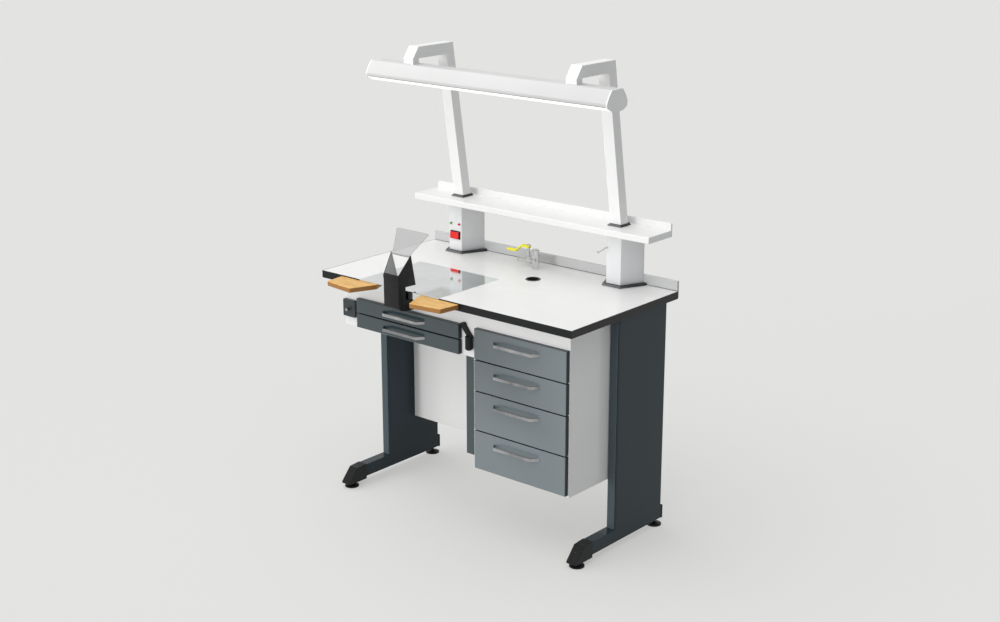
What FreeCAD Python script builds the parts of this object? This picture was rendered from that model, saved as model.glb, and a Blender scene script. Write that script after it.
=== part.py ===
import FreeCAD, Part
import math
import os
import re

import Sketcher

# Jewellers bench: a white worktop with a steel insert on two T-shaped legs, drawers below,
# a shelf on two pillars, and a lamp carried by two leaning posts.
# Millimetres; +X right, +Y back, +Z up. The origin is on the floor, in the middle of the
# bench's footprint.

doc = FreeCAD.newDocument("JewellersBench")
sheet = doc.addObject("Spreadsheet::Sheet", "Sizes")
nodes = []

X_AXIS = FreeCAD.Vector(1, 0, 0)
Y_AXIS = FreeCAD.Vector(0, 1, 0)
Z_AXIS = FreeCAD.Vector(0, 0, 1)

FLAT = 0.01  # an edge that varies by less than this lies in one plane
CLEAR = 1.0  # an edge that is further than this from a plane is off it


# ---------------------------------------------------------------- driving sizes

# Each entry is one cell of the sheet: a plain number, or a formula on other cells.
sizes = {
    # worktop
    "worktop_width": 1200,  # worktop, side to side
    "worktop_depth": 630,  # worktop, front to back
    "worktop_thickness": 28,  # worktop board
    "worktop_height": 905,  # top face above the floor
    "band_thickness": 2,  # edge band
    "upstand_inset": 5,  # strip along the back edge, in from the worktop's ends
    "upstand_width": "=worktop_width - 2 * upstand_inset",  # strip along the back edge
    "upstand_thickness": 12,  # strip along the back edge
    "upstand_rise": 37,  # strip above the worktop
    "armrest_reach": 102,  # armrests in front of the worktop
    # Y of the worktop's front edge, so that the footprint is centred
    "front_edge": "=armrest_reach - (armrest_reach + worktop_depth + upstand_thickness) / 2",
    "back_edge": "=front_edge + worktop_depth",  # Y of the worktop's back edge
    "worktop_under": "=worktop_height - worktop_thickness",  # underside of the worktop
    "cut_over": 5,  # how far a cut runs past the face that it opens
    "board_thickness": 16,  # case boards
    # steel insert and cable grommet
    "station_inset": 399,  # middle of the work station from the worktop's left end
    "station_x": "=station_inset - worktop_width / 2",  # middle of insert, hood and armrests
    "insert_width": 400,  # steel insert, side to side
    "insert_depth": 338,  # steel insert, front to back
    "insert_sheet": 2,  # steel sheet of the insert
    "grommet_shift": 294,  # grommet beside the station's middle
    "grommet_x": "=station_x + grommet_shift",  # middle of the grommet
    "grommet_setback": 419,  # grommet behind the front edge
    "grommet_bore": 46,  # opening of the grommet
    "grommet_hole": 50,  # hole in the worktop
    "grommet_flange": 58,  # flange on the worktop
    "flange_thickness": 2,  # flange on the worktop
    # legs
    "leg_inset": 14,  # leg in from the worktop's end
    "leg_width": 40,  # leg tube, side to side
    "leg_depth": 296,  # leg column, front to back
    "leg_setback": 289,  # leg column behind the front edge
    "leg_corner": 9,  # rounding of the column
    "tube_wall": 2,  # wall of the leg tubes
    "head_plate": 3,  # plate that closes the column's top
    "beam_bottom": 27,  # foot beam above the floor
    "beam_height": 50,  # foot beam
    "beam_reach": 174,  # foot beam in front of the column
    "leg_x": "=worktop_width / 2 - leg_inset - leg_width / 2",  # middle of the leg
    "leg_inner": "=leg_x - leg_width / 2",  # inner face of the leg
    "leg_front": "=front_edge + leg_setback",  # front of the column
    "leg_back": "=leg_front + leg_depth",  # back of the column
    "beam_front": "=leg_front - beam_reach",  # front end of the foot beam
    "beam_top": "=beam_bottom + beam_height",  # top of the foot beam
    # toe and heel caps, levelling feet
    "cap_wall": 3,  # caps outside the beam
    "cap_fit": 0.3,  # clearance between a cap and the beam
    "toe_overlap": 38,  # toe cap over the beam
    "toe_length": 95,  # toe cap
    "toe_flat": 50,  # nearly level part of the toe cap's top
    "toe_bottom": 18,  # toe cap above the floor
    "toe_slope": 4,  # fall of the toe cap's top
    "toe_tip": 7,  # upright tip of the toe cap
    "toe_round": 5,  # rounding of the toe cap's two bends
    "cap_edge": 2.5,  # bevel of the caps' edges
    "heel_thickness": 6,  # heel cap behind the beam
    "heel_tongue": 12,  # heel cap inside the beam
    "heel_edge": 1.5,  # heel cap around the beam
    "foot_radius": 28,  # disc of a levelling foot
    "foot_disc": 5,  # disc of a levelling foot
    "foot_cone": 7,  # cone on the disc
    "stem_radius": 5,  # stem of a levelling foot
    "stem_top": 56,  # top of the stem
    "stem_clear": 0.3,  # clearance around the stem
    "foot_front_inset": 34,  # front foot behind the toe's end
    "foot_rear_inset": 18,  # rear foot in front of the beam's end
    "toe_back": "=beam_front + toe_overlap",  # back end of the toe cap
    "toe_front": "=toe_back - toe_length",  # front end of the toe cap
    "toe_top": "=beam_top + cap_wall",  # top of the toe cap
    # boards under the worktop
    "modesty_setback": 442,  # back panel behind the front edge
    "modesty_bottom": 204,  # back panel above the floor
    "apron_setback": 65,  # front frame behind the front edge
    "apron_height": 187,  # front frame
    "apron_bottom": "=worktop_under - apron_height",  # underside of the front frame
    "apron_face": "=front_edge + apron_setback",  # front of the frame
    "modesty_face": "=front_edge + modesty_setback",  # front of the back panel
    # drawers
    "drawers_drop": 69,  # upper fronts below the worktop
    "drawers_top": "=worktop_under - drawers_drop",  # top edge of the upper fronts
    "front_thickness": 19,  # drawer front
    "front_gap": 3.5,  # gap between fronts
    "front_bevel": 2,  # bevel round a front's face
    "left_unit_inset": 132,  # left fronts in from the worktop's left end
    "lever_space": 74,  # between the left and the right fronts, for the knee lever
    "shallow_front": 55.25,  # height of the left fronts
    "medium_front": 115,  # height of the upper right fronts
    "deep_front": 146.75,  # height of the lower right fronts
    "cabinet_width": 438,  # cabinet of the right drawers
    "cabinet_lip": 10,  # cabinet below the lowest front
    "side_gap": 3,  # front in from the cabinet's right face
    "front_overlap": 14,  # left front beyond its opening
    "window_overlap": 8,  # fronts above their opening
    "box_depth": 340,  # drawer box behind the front
    "box_side": 12,  # walls of a drawer box
    "box_floor": 8,  # floor of a drawer box
    "box_drop": 12,  # drawer box below the front's top
    "box_lift": 14,  # drawer box above the front's bottom
    "box_clear": 1.5,  # drawer box beside the case
    "rail_height": 12,  # runner rail
    "rail_reach": 8,  # runner rail out of the case wall
    "rail_length": 330,  # runner rail
    "rail_fit": 0.3,  # clearance of a rail in its groove
    "cabinet_left": "=leg_inner - cabinet_width",  # left face of the cabinet
    "right_front_left": "=cabinet_left + board_thickness",  # left edge of the right fronts
    "right_front_width": "=cabinet_width - board_thickness - side_gap",  # right drawer fronts
    "right_unit_x": "=right_front_left + right_front_width / 2",  # middle of the right fronts
    "left_front_left": "=left_unit_inset - worktop_width / 2",  # left edge of the left fronts
    "left_front_right": "=right_front_left - lever_space",  # right edge of the left fronts
    "left_front_width": "=left_front_right - left_front_left",  # left drawer fronts
    "left_unit_x": "=(left_front_left + left_front_right) / 2",  # middle of the left fronts
    # underside of the cabinet
    "cabinet_bottom": "=drawers_top - 2 * medium_front - 2 * deep_front - 3 * front_gap - cabinet_lip",
    "window_top": "=drawers_top - window_overlap",  # top of the drawer openings
    "case_left": "=left_unit_x - left_front_width / 2 + front_overlap",  # left opening
    "case_right": "=left_unit_x + left_front_width / 2 - front_overlap",  # left opening
    "right_window_left": "=cabinet_left + board_thickness",  # right opening
    "right_window_right": "=leg_inner - board_thickness",  # right opening
    # drawer handles
    "handle_span": 214,  # handle across its two feet
    "handle_bar": 168,  # front bar of the handle
    "handle_stand": 27,  # handle in front of the drawer
    "handle_shift": 12,  # handle left of its front's middle
    "handle_strip": 4,  # thickness of the handle's strip
    "handle_height": 12,  # height of the handle's strip
    "handle_drop": 32,  # handle below the top of a tall front
    "shallow_drop": "=(shallow_front - handle_height) / 2",  # handle below a shallow front's top
    "handle_run": "=(handle_span - handle_bar) / 2",  # slanted end, sideways
    "handle_leg": "=sqrt(handle_stand ^ 2 + handle_run ^ 2)",  # slanted end, along itself
    "handle_foot": "=handle_strip * handle_leg / handle_stand",  # foot of the strip, sideways
    "handle_bend": "=handle_strip * (handle_leg - handle_run) / handle_stand",  # inner bend
    # suction housing and knee lever
    "housing_width": 121,  # suction housing, side to side
    "housing_setback": 158,  # suction housing behind the front edge
    "lever_inset": 60,  # pivot of the knee lever beside the right fronts
    "lever_drop": 2,  # pivot of the knee lever below the fronts' top
    "lever_x": "=right_front_left - lever_inset",  # pivot of the knee lever
    "lever_height": "=drawers_top - lever_drop",  # pivot of the knee lever
    "lever_width": 22,  # arm of the knee lever
    "lever_thickness": 12,  # arm of the knee lever
    "lever_run": 33,  # arm, sideways
    "lever_fall": 38,  # arm, downwards
    "grip_radius": 14,  # grip of the knee lever
    "grip_length": 52,  # grip of the knee lever
    "lever_socket": 2,  # socket of the arm over the grip
    "grip_lap": 4,  # grip beside the arm's socket
    "grip_tip_bevel": 5,  # bevel at the grip's lower end
    "lever_clear": 0.3,  # lever in front of the frame
    # control plate and push-pull knob
    "plate_width": 64,  # control plate
    "plate_height": 67,  # control plate
    "plate_thickness": 15,  # control plate
    "plate_inset": 2,  # control plate in from the frame's end
    "plate_drop": 82,  # control plate's lower edge below the fronts' top
    "plate_bottom": "=drawers_top - plate_drop",  # lower edge of the control plate
    "plate_corner": 4,  # rounding of the control plate
    "plate_bevel": 1,  # bevel round the control plate's face
    "knob_rise": 31,  # middle of the knob above the plate's lower edge
    "knob_radius": 5,  # stem of the knob
    "knob_tip_radius": 6,  # tip of the knob
    "knob_out": 16,  # knob in front of the plate
    "knob_tip_length": 6,  # tip of the knob
    "knob_bevel": 1.5,  # bevel of the knob's tip
    "knob_clear": 0.3,  # clearance around the stem
    "collar_radius": 13,  # ring around the knob
    "collar_rise": 1.5,  # ring in front of the plate
    # armrests
    "armrest_thickness": 18,  # wooden armrest
    "armrest_drop": 4,  # armrest below the worktop's face
    "armrest_inner_rear": 108,  # inner rear corner from the station's middle
    "armrest_inner_front": 150,  # inner front corner from the station's middle
    "armrest_outer_front": 284,  # outer front corner from the station's middle
    "armrest_outer_rear": 294,  # outer rear corner from the station's middle
    "armrest_outer_reach": 85,  # outer front corner in front of the worktop
    "armrest_corner": 6,  # rounding of the armrest in plan
    "armrest_edge": 1.5,  # bevel of the armrest's edges
    # suction hood
    "hood_reach": 37,  # hood in front of the worktop
    "hood_half_front": 37,  # half the width of the front wall
    "hood_half_back": 54,  # half the width at the wings' back
    "hood_wall": 3,  # wall of the hood
    "hood_bottom_round": 15,  # rounding of the hood's bottom
    "hood_front_top": 58,  # front wall above the worktop
    "hood_peak": 129.5,  # wing peaks above the worktop
    "hood_peak_back": 18,  # wing peaks behind the front edge
    "hood_wing_back": 35,  # back of the wings behind the front edge
    "hood_wing_gap": 15,  # wings above the worktop
    "hood_wing_rise": 3,  # fall of the wings' lower edge to the front
    "hood_stand_off": 7,  # hood in front of the edge band
    "hood_under": 5,  # duct below the worktop
    "duct_height": 40,  # duct at the frame
    "duct_sag": 5,  # lowest point of the duct below its end
    "duct_bend": 15,  # lowest point behind the front edge
    "hood_chin": 25,  # slanted chin in front of the worktop
    "hood_chin_rise": 15,  # slanted chin above the duct's lowest point
    "hood_front_low": 30,  # front wall's lower end above the duct's lowest point
    "duct_bottom": "=worktop_under - hood_under - duct_height",  # duct's underside at the frame
    "hood_lowest": "=duct_bottom - duct_sag",  # lowest point of the hood
    "hood_rim_height": 14,  # band along the front wall's top
    "hood_rim_thickness": 2,  # band along the front wall's top
    # clear shield
    "shield_half_bottom": 45.2,  # half the lower edge, and half the rod
    "shield_half_top": 81,  # half the upper edge
    "shield_length": 98,  # shield, lower to upper edge
    "shield_thickness": 4,  # shield
    "shield_corner": 6,  # rounding of the upper corners
    "shield_lean": 41,  # shield leaning back from upright, degrees
    "shield_pivot_drop": 6,  # pivot below the wing peaks
    "shield_pivot_forward": 2,  # pivot in front of the wing peaks
    "shield_rod_radius": 2.5,  # rod along the shield's lower edge
    "shield_flare": 12,  # start of the shield's slanted sides above the pivot
    # pillars and shelf
    "pillar_shift": -10,  # middle of the pillars, posts and lamp
    "pillar_inset": 213,  # pillar's middle in from the worktop's end
    "pillar_spacing": "=worktop_width - 2 * pillar_inset",  # between the pillars' middles
    "pillar_setback": 535,  # pillar behind the front edge
    "pillar_front_width": 65,  # front face of a pillar
    "pillar_back_width": 159,  # back of a pillar
    "pillar_flare": 85,  # depth of the slanted sides
    "pillar_wall": 2.5,  # wall of a pillar
    "plate_rise": 8,  # black plate under a pillar or post
    "plate_spread": 16,  # black plate beyond the pillar
    "plate_flare": 6,  # slanted edge of the black plate
    "shelf_inset": 34,  # shelf in from the worktop's ends
    "shelf_width": "=worktop_width - 2 * shelf_inset",  # shelf, side to side
    "shelf_depth": 147,  # shelf, front to back
    "shelf_thickness": 24,  # shelf
    "shelf_rise": 223,  # shelf's top face above the worktop
    "shelf_height": "=worktop_height + shelf_rise",  # top face of the shelf
    "shelf_lip": 27,  # strip along the shelf's back
    "shelf_lip_thickness": 9,  # strip along the shelf's back
    "shelf_edge": 3,  # rounding of the shelf's front
    "pillar_x": "=pillar_spacing / 2",  # pillar from the middle of the superstructure
    "pillar_front": "=front_edge + pillar_setback",  # front face of the pillars
    "shelf_under": "=shelf_height - shelf_thickness",  # underside of the shelf
    "pillar_bottom": "=worktop_height + plate_rise",  # lower end of the pillars
    # posts, arms and lamp
    "post_inset": 5,  # post's middle beside the pillar's
    "post_spacing": "=pillar_spacing - 2 * post_inset",  # between the posts' middles
    "post_width": 48,  # post tube, side to side
    "post_depth": 44,  # post tube, front to back
    "post_wall": 3,  # wall of the post tube
    "post_lean": 0.16,  # lean of the post, forward per upward
    "arm_rise": 612,  # top of the arm above the shelf
    "arm_top": "=shelf_height + arm_rise",  # top of the arm
    "arm_height": 43,  # arm tube
    "arm_nose": 305,  # tip of the arm's top behind the front edge
    "nose_slant": 31,  # slant of the arm's end
    "pad_rise": 20,  # block between arm and lamp
    "pad_length": 33,  # block between arm and lamp
    "post_plate_width": 61,  # black plate under a post
    "post_plate_depth": 62,  # black plate under a post
    "post_x": "=post_spacing / 2",  # post from the middle of the superstructure
    "post_bottom": "=shelf_height + plate_rise",  # lower end of the posts
    "post_setback": 66,  # posts behind the shelf's front
    "post_front": "=back_edge - shelf_depth + post_setback",  # front of the posts at their foot
    "arm_bottom": "=arm_top - arm_height",  # underside of the arm
    "arm_tip": "=front_edge + arm_nose",  # front end of the arm's top
    "lean_to_arm": "=post_lean * (arm_bottom - post_bottom)",  # post's lean up to the arm
    "lean_to_top": "=post_lean * (arm_top - post_bottom)",  # post's lean up to the top
    "lamp_top": "=arm_bottom - pad_rise",  # top of the lamp
    "lamp_inset": 0.5,  # lamp in from the shelf's ends
    "lamp_length": "=shelf_width - 2 * lamp_inset",  # lamp, side to side
    "lamp_wall": 2.5,  # wall of the lamp's housing
    "lamp_cap": 6,  # end cap of the lamp
    "lamp_setback": 295,  # middle of the lamp behind the worktop's front edge
    "lamp_y": "=front_edge + lamp_setback",  # middle of the lamp
    "lamp_height": 78,  # lamp, top to lowest line
    "lamp_seam": 45,  # seam between housing and diffuser below the top
    "lamp_seam_gap": 1,  # seam between housing and diffuser
    "lamp_nose": 61,  # foremost line of the lamp from its middle
    "lamp_tail": 57,  # rearmost line of the lamp from its middle
    "roof_front": 32,  # flat top in front of the lamp's middle
    "roof_back": 29,  # flat top behind the lamp's middle
    "shoulder_front": 48,  # front shoulder from the lamp's middle
    "shoulder_front_drop": 20,  # front shoulder below the top
    "shoulder_back": 49,  # back shoulder from the lamp's middle
    "shoulder_back_drop": 27,  # back shoulder below the top
    "lens_front": 59,  # front corner of the diffuser
    "lens_front_drop": 58,  # front corner below the top
    "lens_bend": 33,  # lower front bend of the diffuser
    "lens_bend_drop": 72,  # lower front bend below the top
    "lens_low": 9,  # lowest line of the diffuser behind the middle
    "lens_heel": 36,  # lower back bend of the diffuser
    "lens_heel_drop": 73,  # lower back bend below the top
    "lens_back": 55,  # back corner of the diffuser
    "lens_back_drop": 61,  # back corner below the top
    # switch, indicator lamps and hook
    "switch_width": 50,  # bezel of the rocker switch
    "switch_height": 33,  # bezel of the rocker switch
    "switch_rise": 2.5,  # bezel in front of the pillar
    "switch_lift": 53,  # bezel above the worktop
    "switch_bottom": "=worktop_height + switch_lift",  # lower edge of the bezel
    "switch_frame": 6,  # bezel around the rocker
    "switch_depth": 16,  # switch body inside the pillar
    "switch_fit": 0.3,  # clearance of the switch body in the pillar
    "switch_back": 2,  # back wall of the switch body
    "rocker_fit": 0.7,  # clearance around the rocker
    "rocker_dip": 6.5,  # middle of the rocker in front of the pillar
    "rocker_low": 7,  # lower end of the rocker in front of the pillar
    "rocker_proud": 10,  # raised upper end of the rocker in front of the pillar
    "rocker_root": 1,  # ends of the rocker behind the pillar's face
    "rocker_depth": 6,  # middle of the rocker behind the pillar's face
    "lamp_spacing": 42,  # between the indicator lamps
    "indicator_lift": 115,  # indicator lamps above the worktop
    "indicator_height": "=worktop_height + indicator_lift",  # middle of the indicator lamps
    "indicator_radius": 4,  # indicator lamp
    "indicator_out": 4,  # indicator lamp in front of the pillar
    "hook_wire": 2,  # radius of the hook's wire
    "hook_lift": 143,  # hook above the worktop
    "hook_height": "=worktop_height + hook_lift",  # root of the hook
    "hook_root": 7,  # hook's root out of the pillar
    "hook_reach": 47,  # hook along its wire
    "hook_tip": 7,  # upturned tip of the hook
    "hook_fall": 35,  # fall of the hook, degrees
    # gas tap
    "tap_shift": 206,  # tap beside the station's middle
    "tap_x": "=station_x + tap_shift",  # middle of the tap
    "tap_setback": 542,  # tap behind the front edge
    "tap_radius": 13.5,  # body of the tap
    "tap_neck_radius": 11,  # waist below the cap
    "tap_cap_radius": 15,  # cap of the tap
    "tap_body_height": 40,  # body of the tap
    "tap_cap_height": 37,  # cap of the tap
    "tap_bevel": 2,  # bevels of the body and its cap
    "tap_nozzle_height": 25,  # nozzle above the worktop
    "tap_nozzle_reach": 87,  # nozzle out of the tap's middle
    "tap_nozzle_radius": 8,  # nozzle
    "tap_bore_radius": 4,  # bore of the nozzle
    "tap_bore_length": 30,  # bore of the nozzle
    "spindle_offset": 34,  # spindle beside the tap's middle
    "spindle_radius": 6,  # spindle
    "spindle_top": 76,  # spindle above the worktop
    "tap_lever_width": 12,  # lever of the tap
    "tap_lever_thickness": 4,  # lever of the tap
    "tap_lever_flat": 31,  # level part of the lever from the spindle's middle
    "tap_lever_bend": 61,  # end of the slanted part from the spindle's middle
    "tap_lever_length": 102,  # lever from the spindle's middle
    "tap_lever_fall": 24,  # lever's fall to its end
    "tap_lever_clear": 0.3,  # lever above the spindle
}

for row, (alias, value) in enumerate(sizes.items(), 1):
    sheet.set(f"A{row}", alias)
    sheet.set(f"B{row}", str(value))
    sheet.setAlias(f"B{row}", alias)
doc.recompute()


# ---------------------------------------------------------------- helpers

def bound(text):
    """Point the size names in an expression at the sheet."""
    def to_sheet(word):
        name = word.group()
        return f"Sizes.{name}" if name in sizes else name
    return re.sub(r"[a-z_]+", to_sheet, str(text))


def place(piece, x=0, y=0, z=0):
    """Bind the place of a piece to the sheet."""
    for axis, value in zip("xyz", (x, y, z)):
        piece.setExpression(f"Placement.Base.{axis}", bound(value))
    return piece


def new_body(name, x=0, y=0, z=0):
    return place(doc.addObject("PartDesign::Body", name), x, y, z)


def sketch_on(body, plane, offset=0):
    """An empty sketch on one of the body's origin planes, moved along the plane's normal."""
    sketch = body.newObject("Sketcher::SketchObject", "Outline")
    role = f"{plane}_Plane"
    support = next(item for item in body.Origin.OriginFeatures if item.Role == role)
    sketch.AttachmentSupport = [(support, "")]
    sketch.MapMode = "FlatFace"
    sketch.setExpression("AttachmentOffset.Base.z", bound(offset))
    return sketch


def add_outline(sketch, points):
    """A closed outline of straight lines, with each corner bound to two expressions."""
    first = sketch.GeometryCount
    count = len(points)
    start = FreeCAD.Vector(10, 0, 0)
    step = FreeCAD.Rotation(Z_AXIS, 360 / count)
    for _ in points:
        end = step.multVec(start)
        sketch.addGeometry(Part.LineSegment(start, end))
        start = end
    for number in range(count):
        after = first + (number + 1) % count
        sketch.addConstraint(Sketcher.Constraint("Coincident", first + number, 2, after, 1))
    for number, corner in enumerate(points):
        for kind, value in zip(("DistanceX", "DistanceY"), corner):
            rule = Sketcher.Constraint(kind, -1, 1, first + number, 1, 0.0)
            index = sketch.addConstraint(rule)
            sketch.setExpression(f"Constraints[{index}]", bound(value))
    return sketch


def rectangle(left, low, right, high):
    return [(left, low), (right, low), (right, high), (left, high)]


def add_circle(sketch, u, v, radius):
    index = sketch.addGeometry(Part.Circle(FreeCAD.Vector(0, 0, 0), Z_AXIS, 1))
    for kind, value in (("DistanceX", u), ("DistanceY", v)):
        rule = sketch.addConstraint(Sketcher.Constraint(kind, -1, 1, index, 3, 0.0))
        sketch.setExpression(f"Constraints[{rule}]", bound(value))
    rule = sketch.addConstraint(Sketcher.Constraint("Radius", index, 1.0))
    sketch.setExpression(f"Constraints[{rule}]", bound(radius))
    return sketch


def pad(body, sketch, length, both=False, reverse=False):
    feature = body.newObject("PartDesign::Pad", "Pad")
    feature.Profile = sketch
    feature.setExpression("Length", bound(length))
    feature.SideType = "Symmetric" if both else "One side"
    feature.Reversed = reverse
    return feature


def pocket(body, sketch, length, both=False, reverse=False):
    """Cut a sketch out of the body, and make sure that something was cut."""
    doc.recompute()
    before = body.Shape.Volume
    feature = body.newObject("PartDesign::Pocket", "Pocket")
    feature.Profile = sketch
    feature.setExpression("Length", bound(length))
    feature.SideType = "Symmetric" if both else "One side"
    feature.Reversed = reverse
    doc.recompute()
    if not body.Shape.Volume < before:
        raise RuntimeError(f"{body.Name}: a pocket cuts nothing")
    return feature


def revolve(body, sketch):
    """Turn a sketch once round the sketch's own upright axis."""
    feature = body.newObject("PartDesign::Revolution", "Revolution")
    feature.Profile = sketch
    feature.ReferenceAxis = (sketch, ["V_Axis"])
    feature.Angle = 360
    return feature


def direction(edge):
    if not isinstance(edge.Curve, Part.Line):
        return FreeCAD.Vector(0, 0, 0)
    return edge.Curve.Direction


def edges_along(axis, keep=lambda edge: True):
    """A choice of the straight edges that run along one axis."""
    return lambda edge: abs(direction(edge).dot(axis)) > 0.999 and keep(edge)


def front_edges(body):
    """A choice of the edges that lie in the body's foremost face."""
    doc.recompute()
    foremost = body.Tip.Shape.BoundBox.YMin
    return lambda edge: edge.BoundBox.YMax < foremost + FLAT


def dress(body, kind, amount, choice):
    """Fillet or chamfer the chosen edges of what the body has so far."""
    doc.recompute()
    base = body.Tip
    names = [f"Edge{n}" for n, edge in enumerate(base.Shape.Edges, 1) if choice(edge)]
    if not names:
        raise RuntimeError(f"{body.Name}: no edge to dress")
    feature = body.newObject(f"PartDesign::{kind}", kind)
    feature.Base = (base, names)
    feature.setExpression("Radius" if kind == "Fillet" else "Size", bound(amount))
    return feature


def prism(name, plane, points, length, x=0, y=0, z=0, both=False, reverse=False):
    """A body made of one outline and one pad."""
    body = new_body(name, x, y, z)
    pad(body, add_outline(sketch_on(body, plane), points), length, both, reverse)
    return body


def board(name, low, high):
    """A plain box between two corners."""
    box = doc.addObject("Part::Box", name)
    for side, start, end in zip(("Length", "Width", "Height"), low, high):
        box.setExpression(side, bound(f"({end}) - ({start})"))
    return place(box, *low)


def mirrored(source, name, middle=0):
    """The same piece on the other side of an upright plane at X = middle."""
    copy = doc.addObject("Part::Mirroring", name)
    copy.Source = source
    copy.Normal = X_AXIS
    copy.setExpression("Base.x", bound(middle))
    return copy


def boolean(kind, name, pieces):
    """A Part boolean: MultiFuse, MultiCommon or Cut."""
    result = doc.addObject(f"Part::{kind}", name)
    if kind == "Cut":
        result.Base, result.Tool = pieces
    else:
        result.Shapes = pieces
    return result


def grouped(name, pieces):
    group = doc.addObject("Part::Compound", name)
    group.Links = pieces
    return group


def finish(piece, label):
    """Give a sub-part its label and put it on the list of what is written."""
    piece.Label = label
    nodes.append(piece)
    return piece


# ---------------------------------------------------------------- worktop

def make_worktop():
    """Board with a shallow recess for the steel insert and a hole for the grommet."""
    body = new_body("Worktop", 0, "front_edge", "worktop_under")
    half = "worktop_width / 2 - band_thickness"
    outline = rectangle(f"-({half})", "band_thickness", half, "worktop_depth")
    pad(body, add_outline(sketch_on(body, "XY"), outline), "worktop_thickness")
    recess = rectangle("station_x - insert_width / 2", 0,
                       "station_x + insert_width / 2", "insert_depth")
    pocket(body, add_outline(sketch_on(body, "XY", "worktop_thickness"), recess), "insert_sheet")
    hole = sketch_on(body, "XY", "worktop_thickness")
    add_circle(hole, "grommet_x", "grommet_setback", "grommet_hole / 2")
    pocket(body, hole, "worktop_thickness")
    return finish(body, "worktop")


def make_edge_band():
    """Two L-shaped strips round the ends and the front, which stop at the steel insert."""
    body = new_body("EdgeBand", 0, "front_edge", "worktop_under")
    sketch = sketch_on(body, "XY")
    half = "worktop_width / 2"
    insert_ends = ("station_x - insert_width / 2", "station_x + insert_width / 2")
    for sign, end in zip(("-", ""), insert_ends):
        outer = f"{sign}{half}"
        inner = f"{sign}({half} - band_thickness)"
        add_outline(sketch, [(end, 0), (outer, 0), (outer, "worktop_depth"),
                             (inner, "worktop_depth"), (inner, "band_thickness"),
                             (end, "band_thickness")])
    pad(body, sketch, "worktop_thickness")
    return finish(body, "edge_band")


def make_upstand():
    """Strip on edge behind the worktop, with a rounded top."""
    outline = rectangle("-upstand_width / 2", 0, "upstand_width / 2",
                        "worktop_thickness + upstand_rise")
    body = prism("Upstand", "XZ", outline, "upstand_thickness",
                 0, "back_edge", "worktop_under", reverse=True)
    top = edges_along(X_AXIS, lambda edge: edge.BoundBox.ZMin > CLEAR)
    dress(body, "Fillet", "band_thickness", top)
    return finish(body, "upstand")


def make_insert():
    """Steel sheet, flush with the worktop and folded down over its front edge."""
    outline = [(0, "-worktop_thickness"), ("insert_sheet", "-worktop_thickness"),
               ("insert_sheet", "-insert_sheet"), ("insert_depth", "-insert_sheet"),
               ("insert_depth", 0), (0, 0)]
    body = prism("Insert", "YZ", outline, "insert_width",
                 "station_x", "front_edge", "worktop_height", both=True)
    def fold(edge):
        return edge.BoundBox.YMax < FLAT and edge.BoundBox.ZMin > -FLAT
    dress(body, "Fillet", "insert_sheet", edges_along(X_AXIS, fold))
    return finish(body, "insert_plate")


def make_grommet():
    """Flanged sleeve through the worktop, with an open bore."""
    body = new_body("Grommet", "grommet_x", "front_edge + grommet_setback", "worktop_height")
    bore = "grommet_bore / 2"
    sleeve = "grommet_hole / 2"
    flange = "grommet_flange / 2"
    outline = [(bore, "-worktop_thickness"), (sleeve, "-worktop_thickness"), (sleeve, 0),
               (flange, 0), (f"{flange} - flange_thickness", "flange_thickness"),
               (bore, "flange_thickness")]
    revolve(body, add_outline(sketch_on(body, "XZ"), outline))
    return finish(body, "cable_grommet")


# ---------------------------------------------------------------- legs

def make_legs():
    """Welded T-shaped legs: an upright column of box tube on a foot beam of box tube."""
    body = new_body("LegRight", "leg_x", 0, 0)
    half = "leg_width / 2"
    inside = "leg_width / 2 - tube_wall"
    column = rectangle(f"-{half}", "leg_front", half, "leg_back")
    pad(body, add_outline(sketch_on(body, "XY", "beam_top"), column), "worktop_under - beam_top")
    dress(body, "Fillet", "leg_corner", edges_along(Z_AXIS))
    hollow = rectangle(f"-({inside})", "leg_front + tube_wall", inside, "leg_back - tube_wall")
    hollow_sketch = add_outline(sketch_on(body, "XY", "beam_top"), hollow)
    pocket(body, hollow_sketch, "worktop_under - beam_top - head_plate", reverse=True)

    beam = sketch_on(body, "XZ", "-beam_front")
    add_outline(beam, rectangle(f"-{half}", "beam_bottom", half, "beam_top"))
    add_outline(beam, rectangle(f"-({inside})", "beam_bottom + tube_wall",
                                inside, "beam_top - tube_wall"))
    pad(body, beam, "leg_back - beam_front", reverse=True)
    stem_hole = sketch_on(body, "XY", "beam_bottom")
    add_circle(stem_hole, 0, "leg_back - foot_rear_inset", "stem_radius + stem_clear")
    pocket(body, stem_hole, "tube_wall", reverse=True)
    finish(body, "leg_right")
    return finish(mirrored(body, "LegLeft"), "leg_left")


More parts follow.
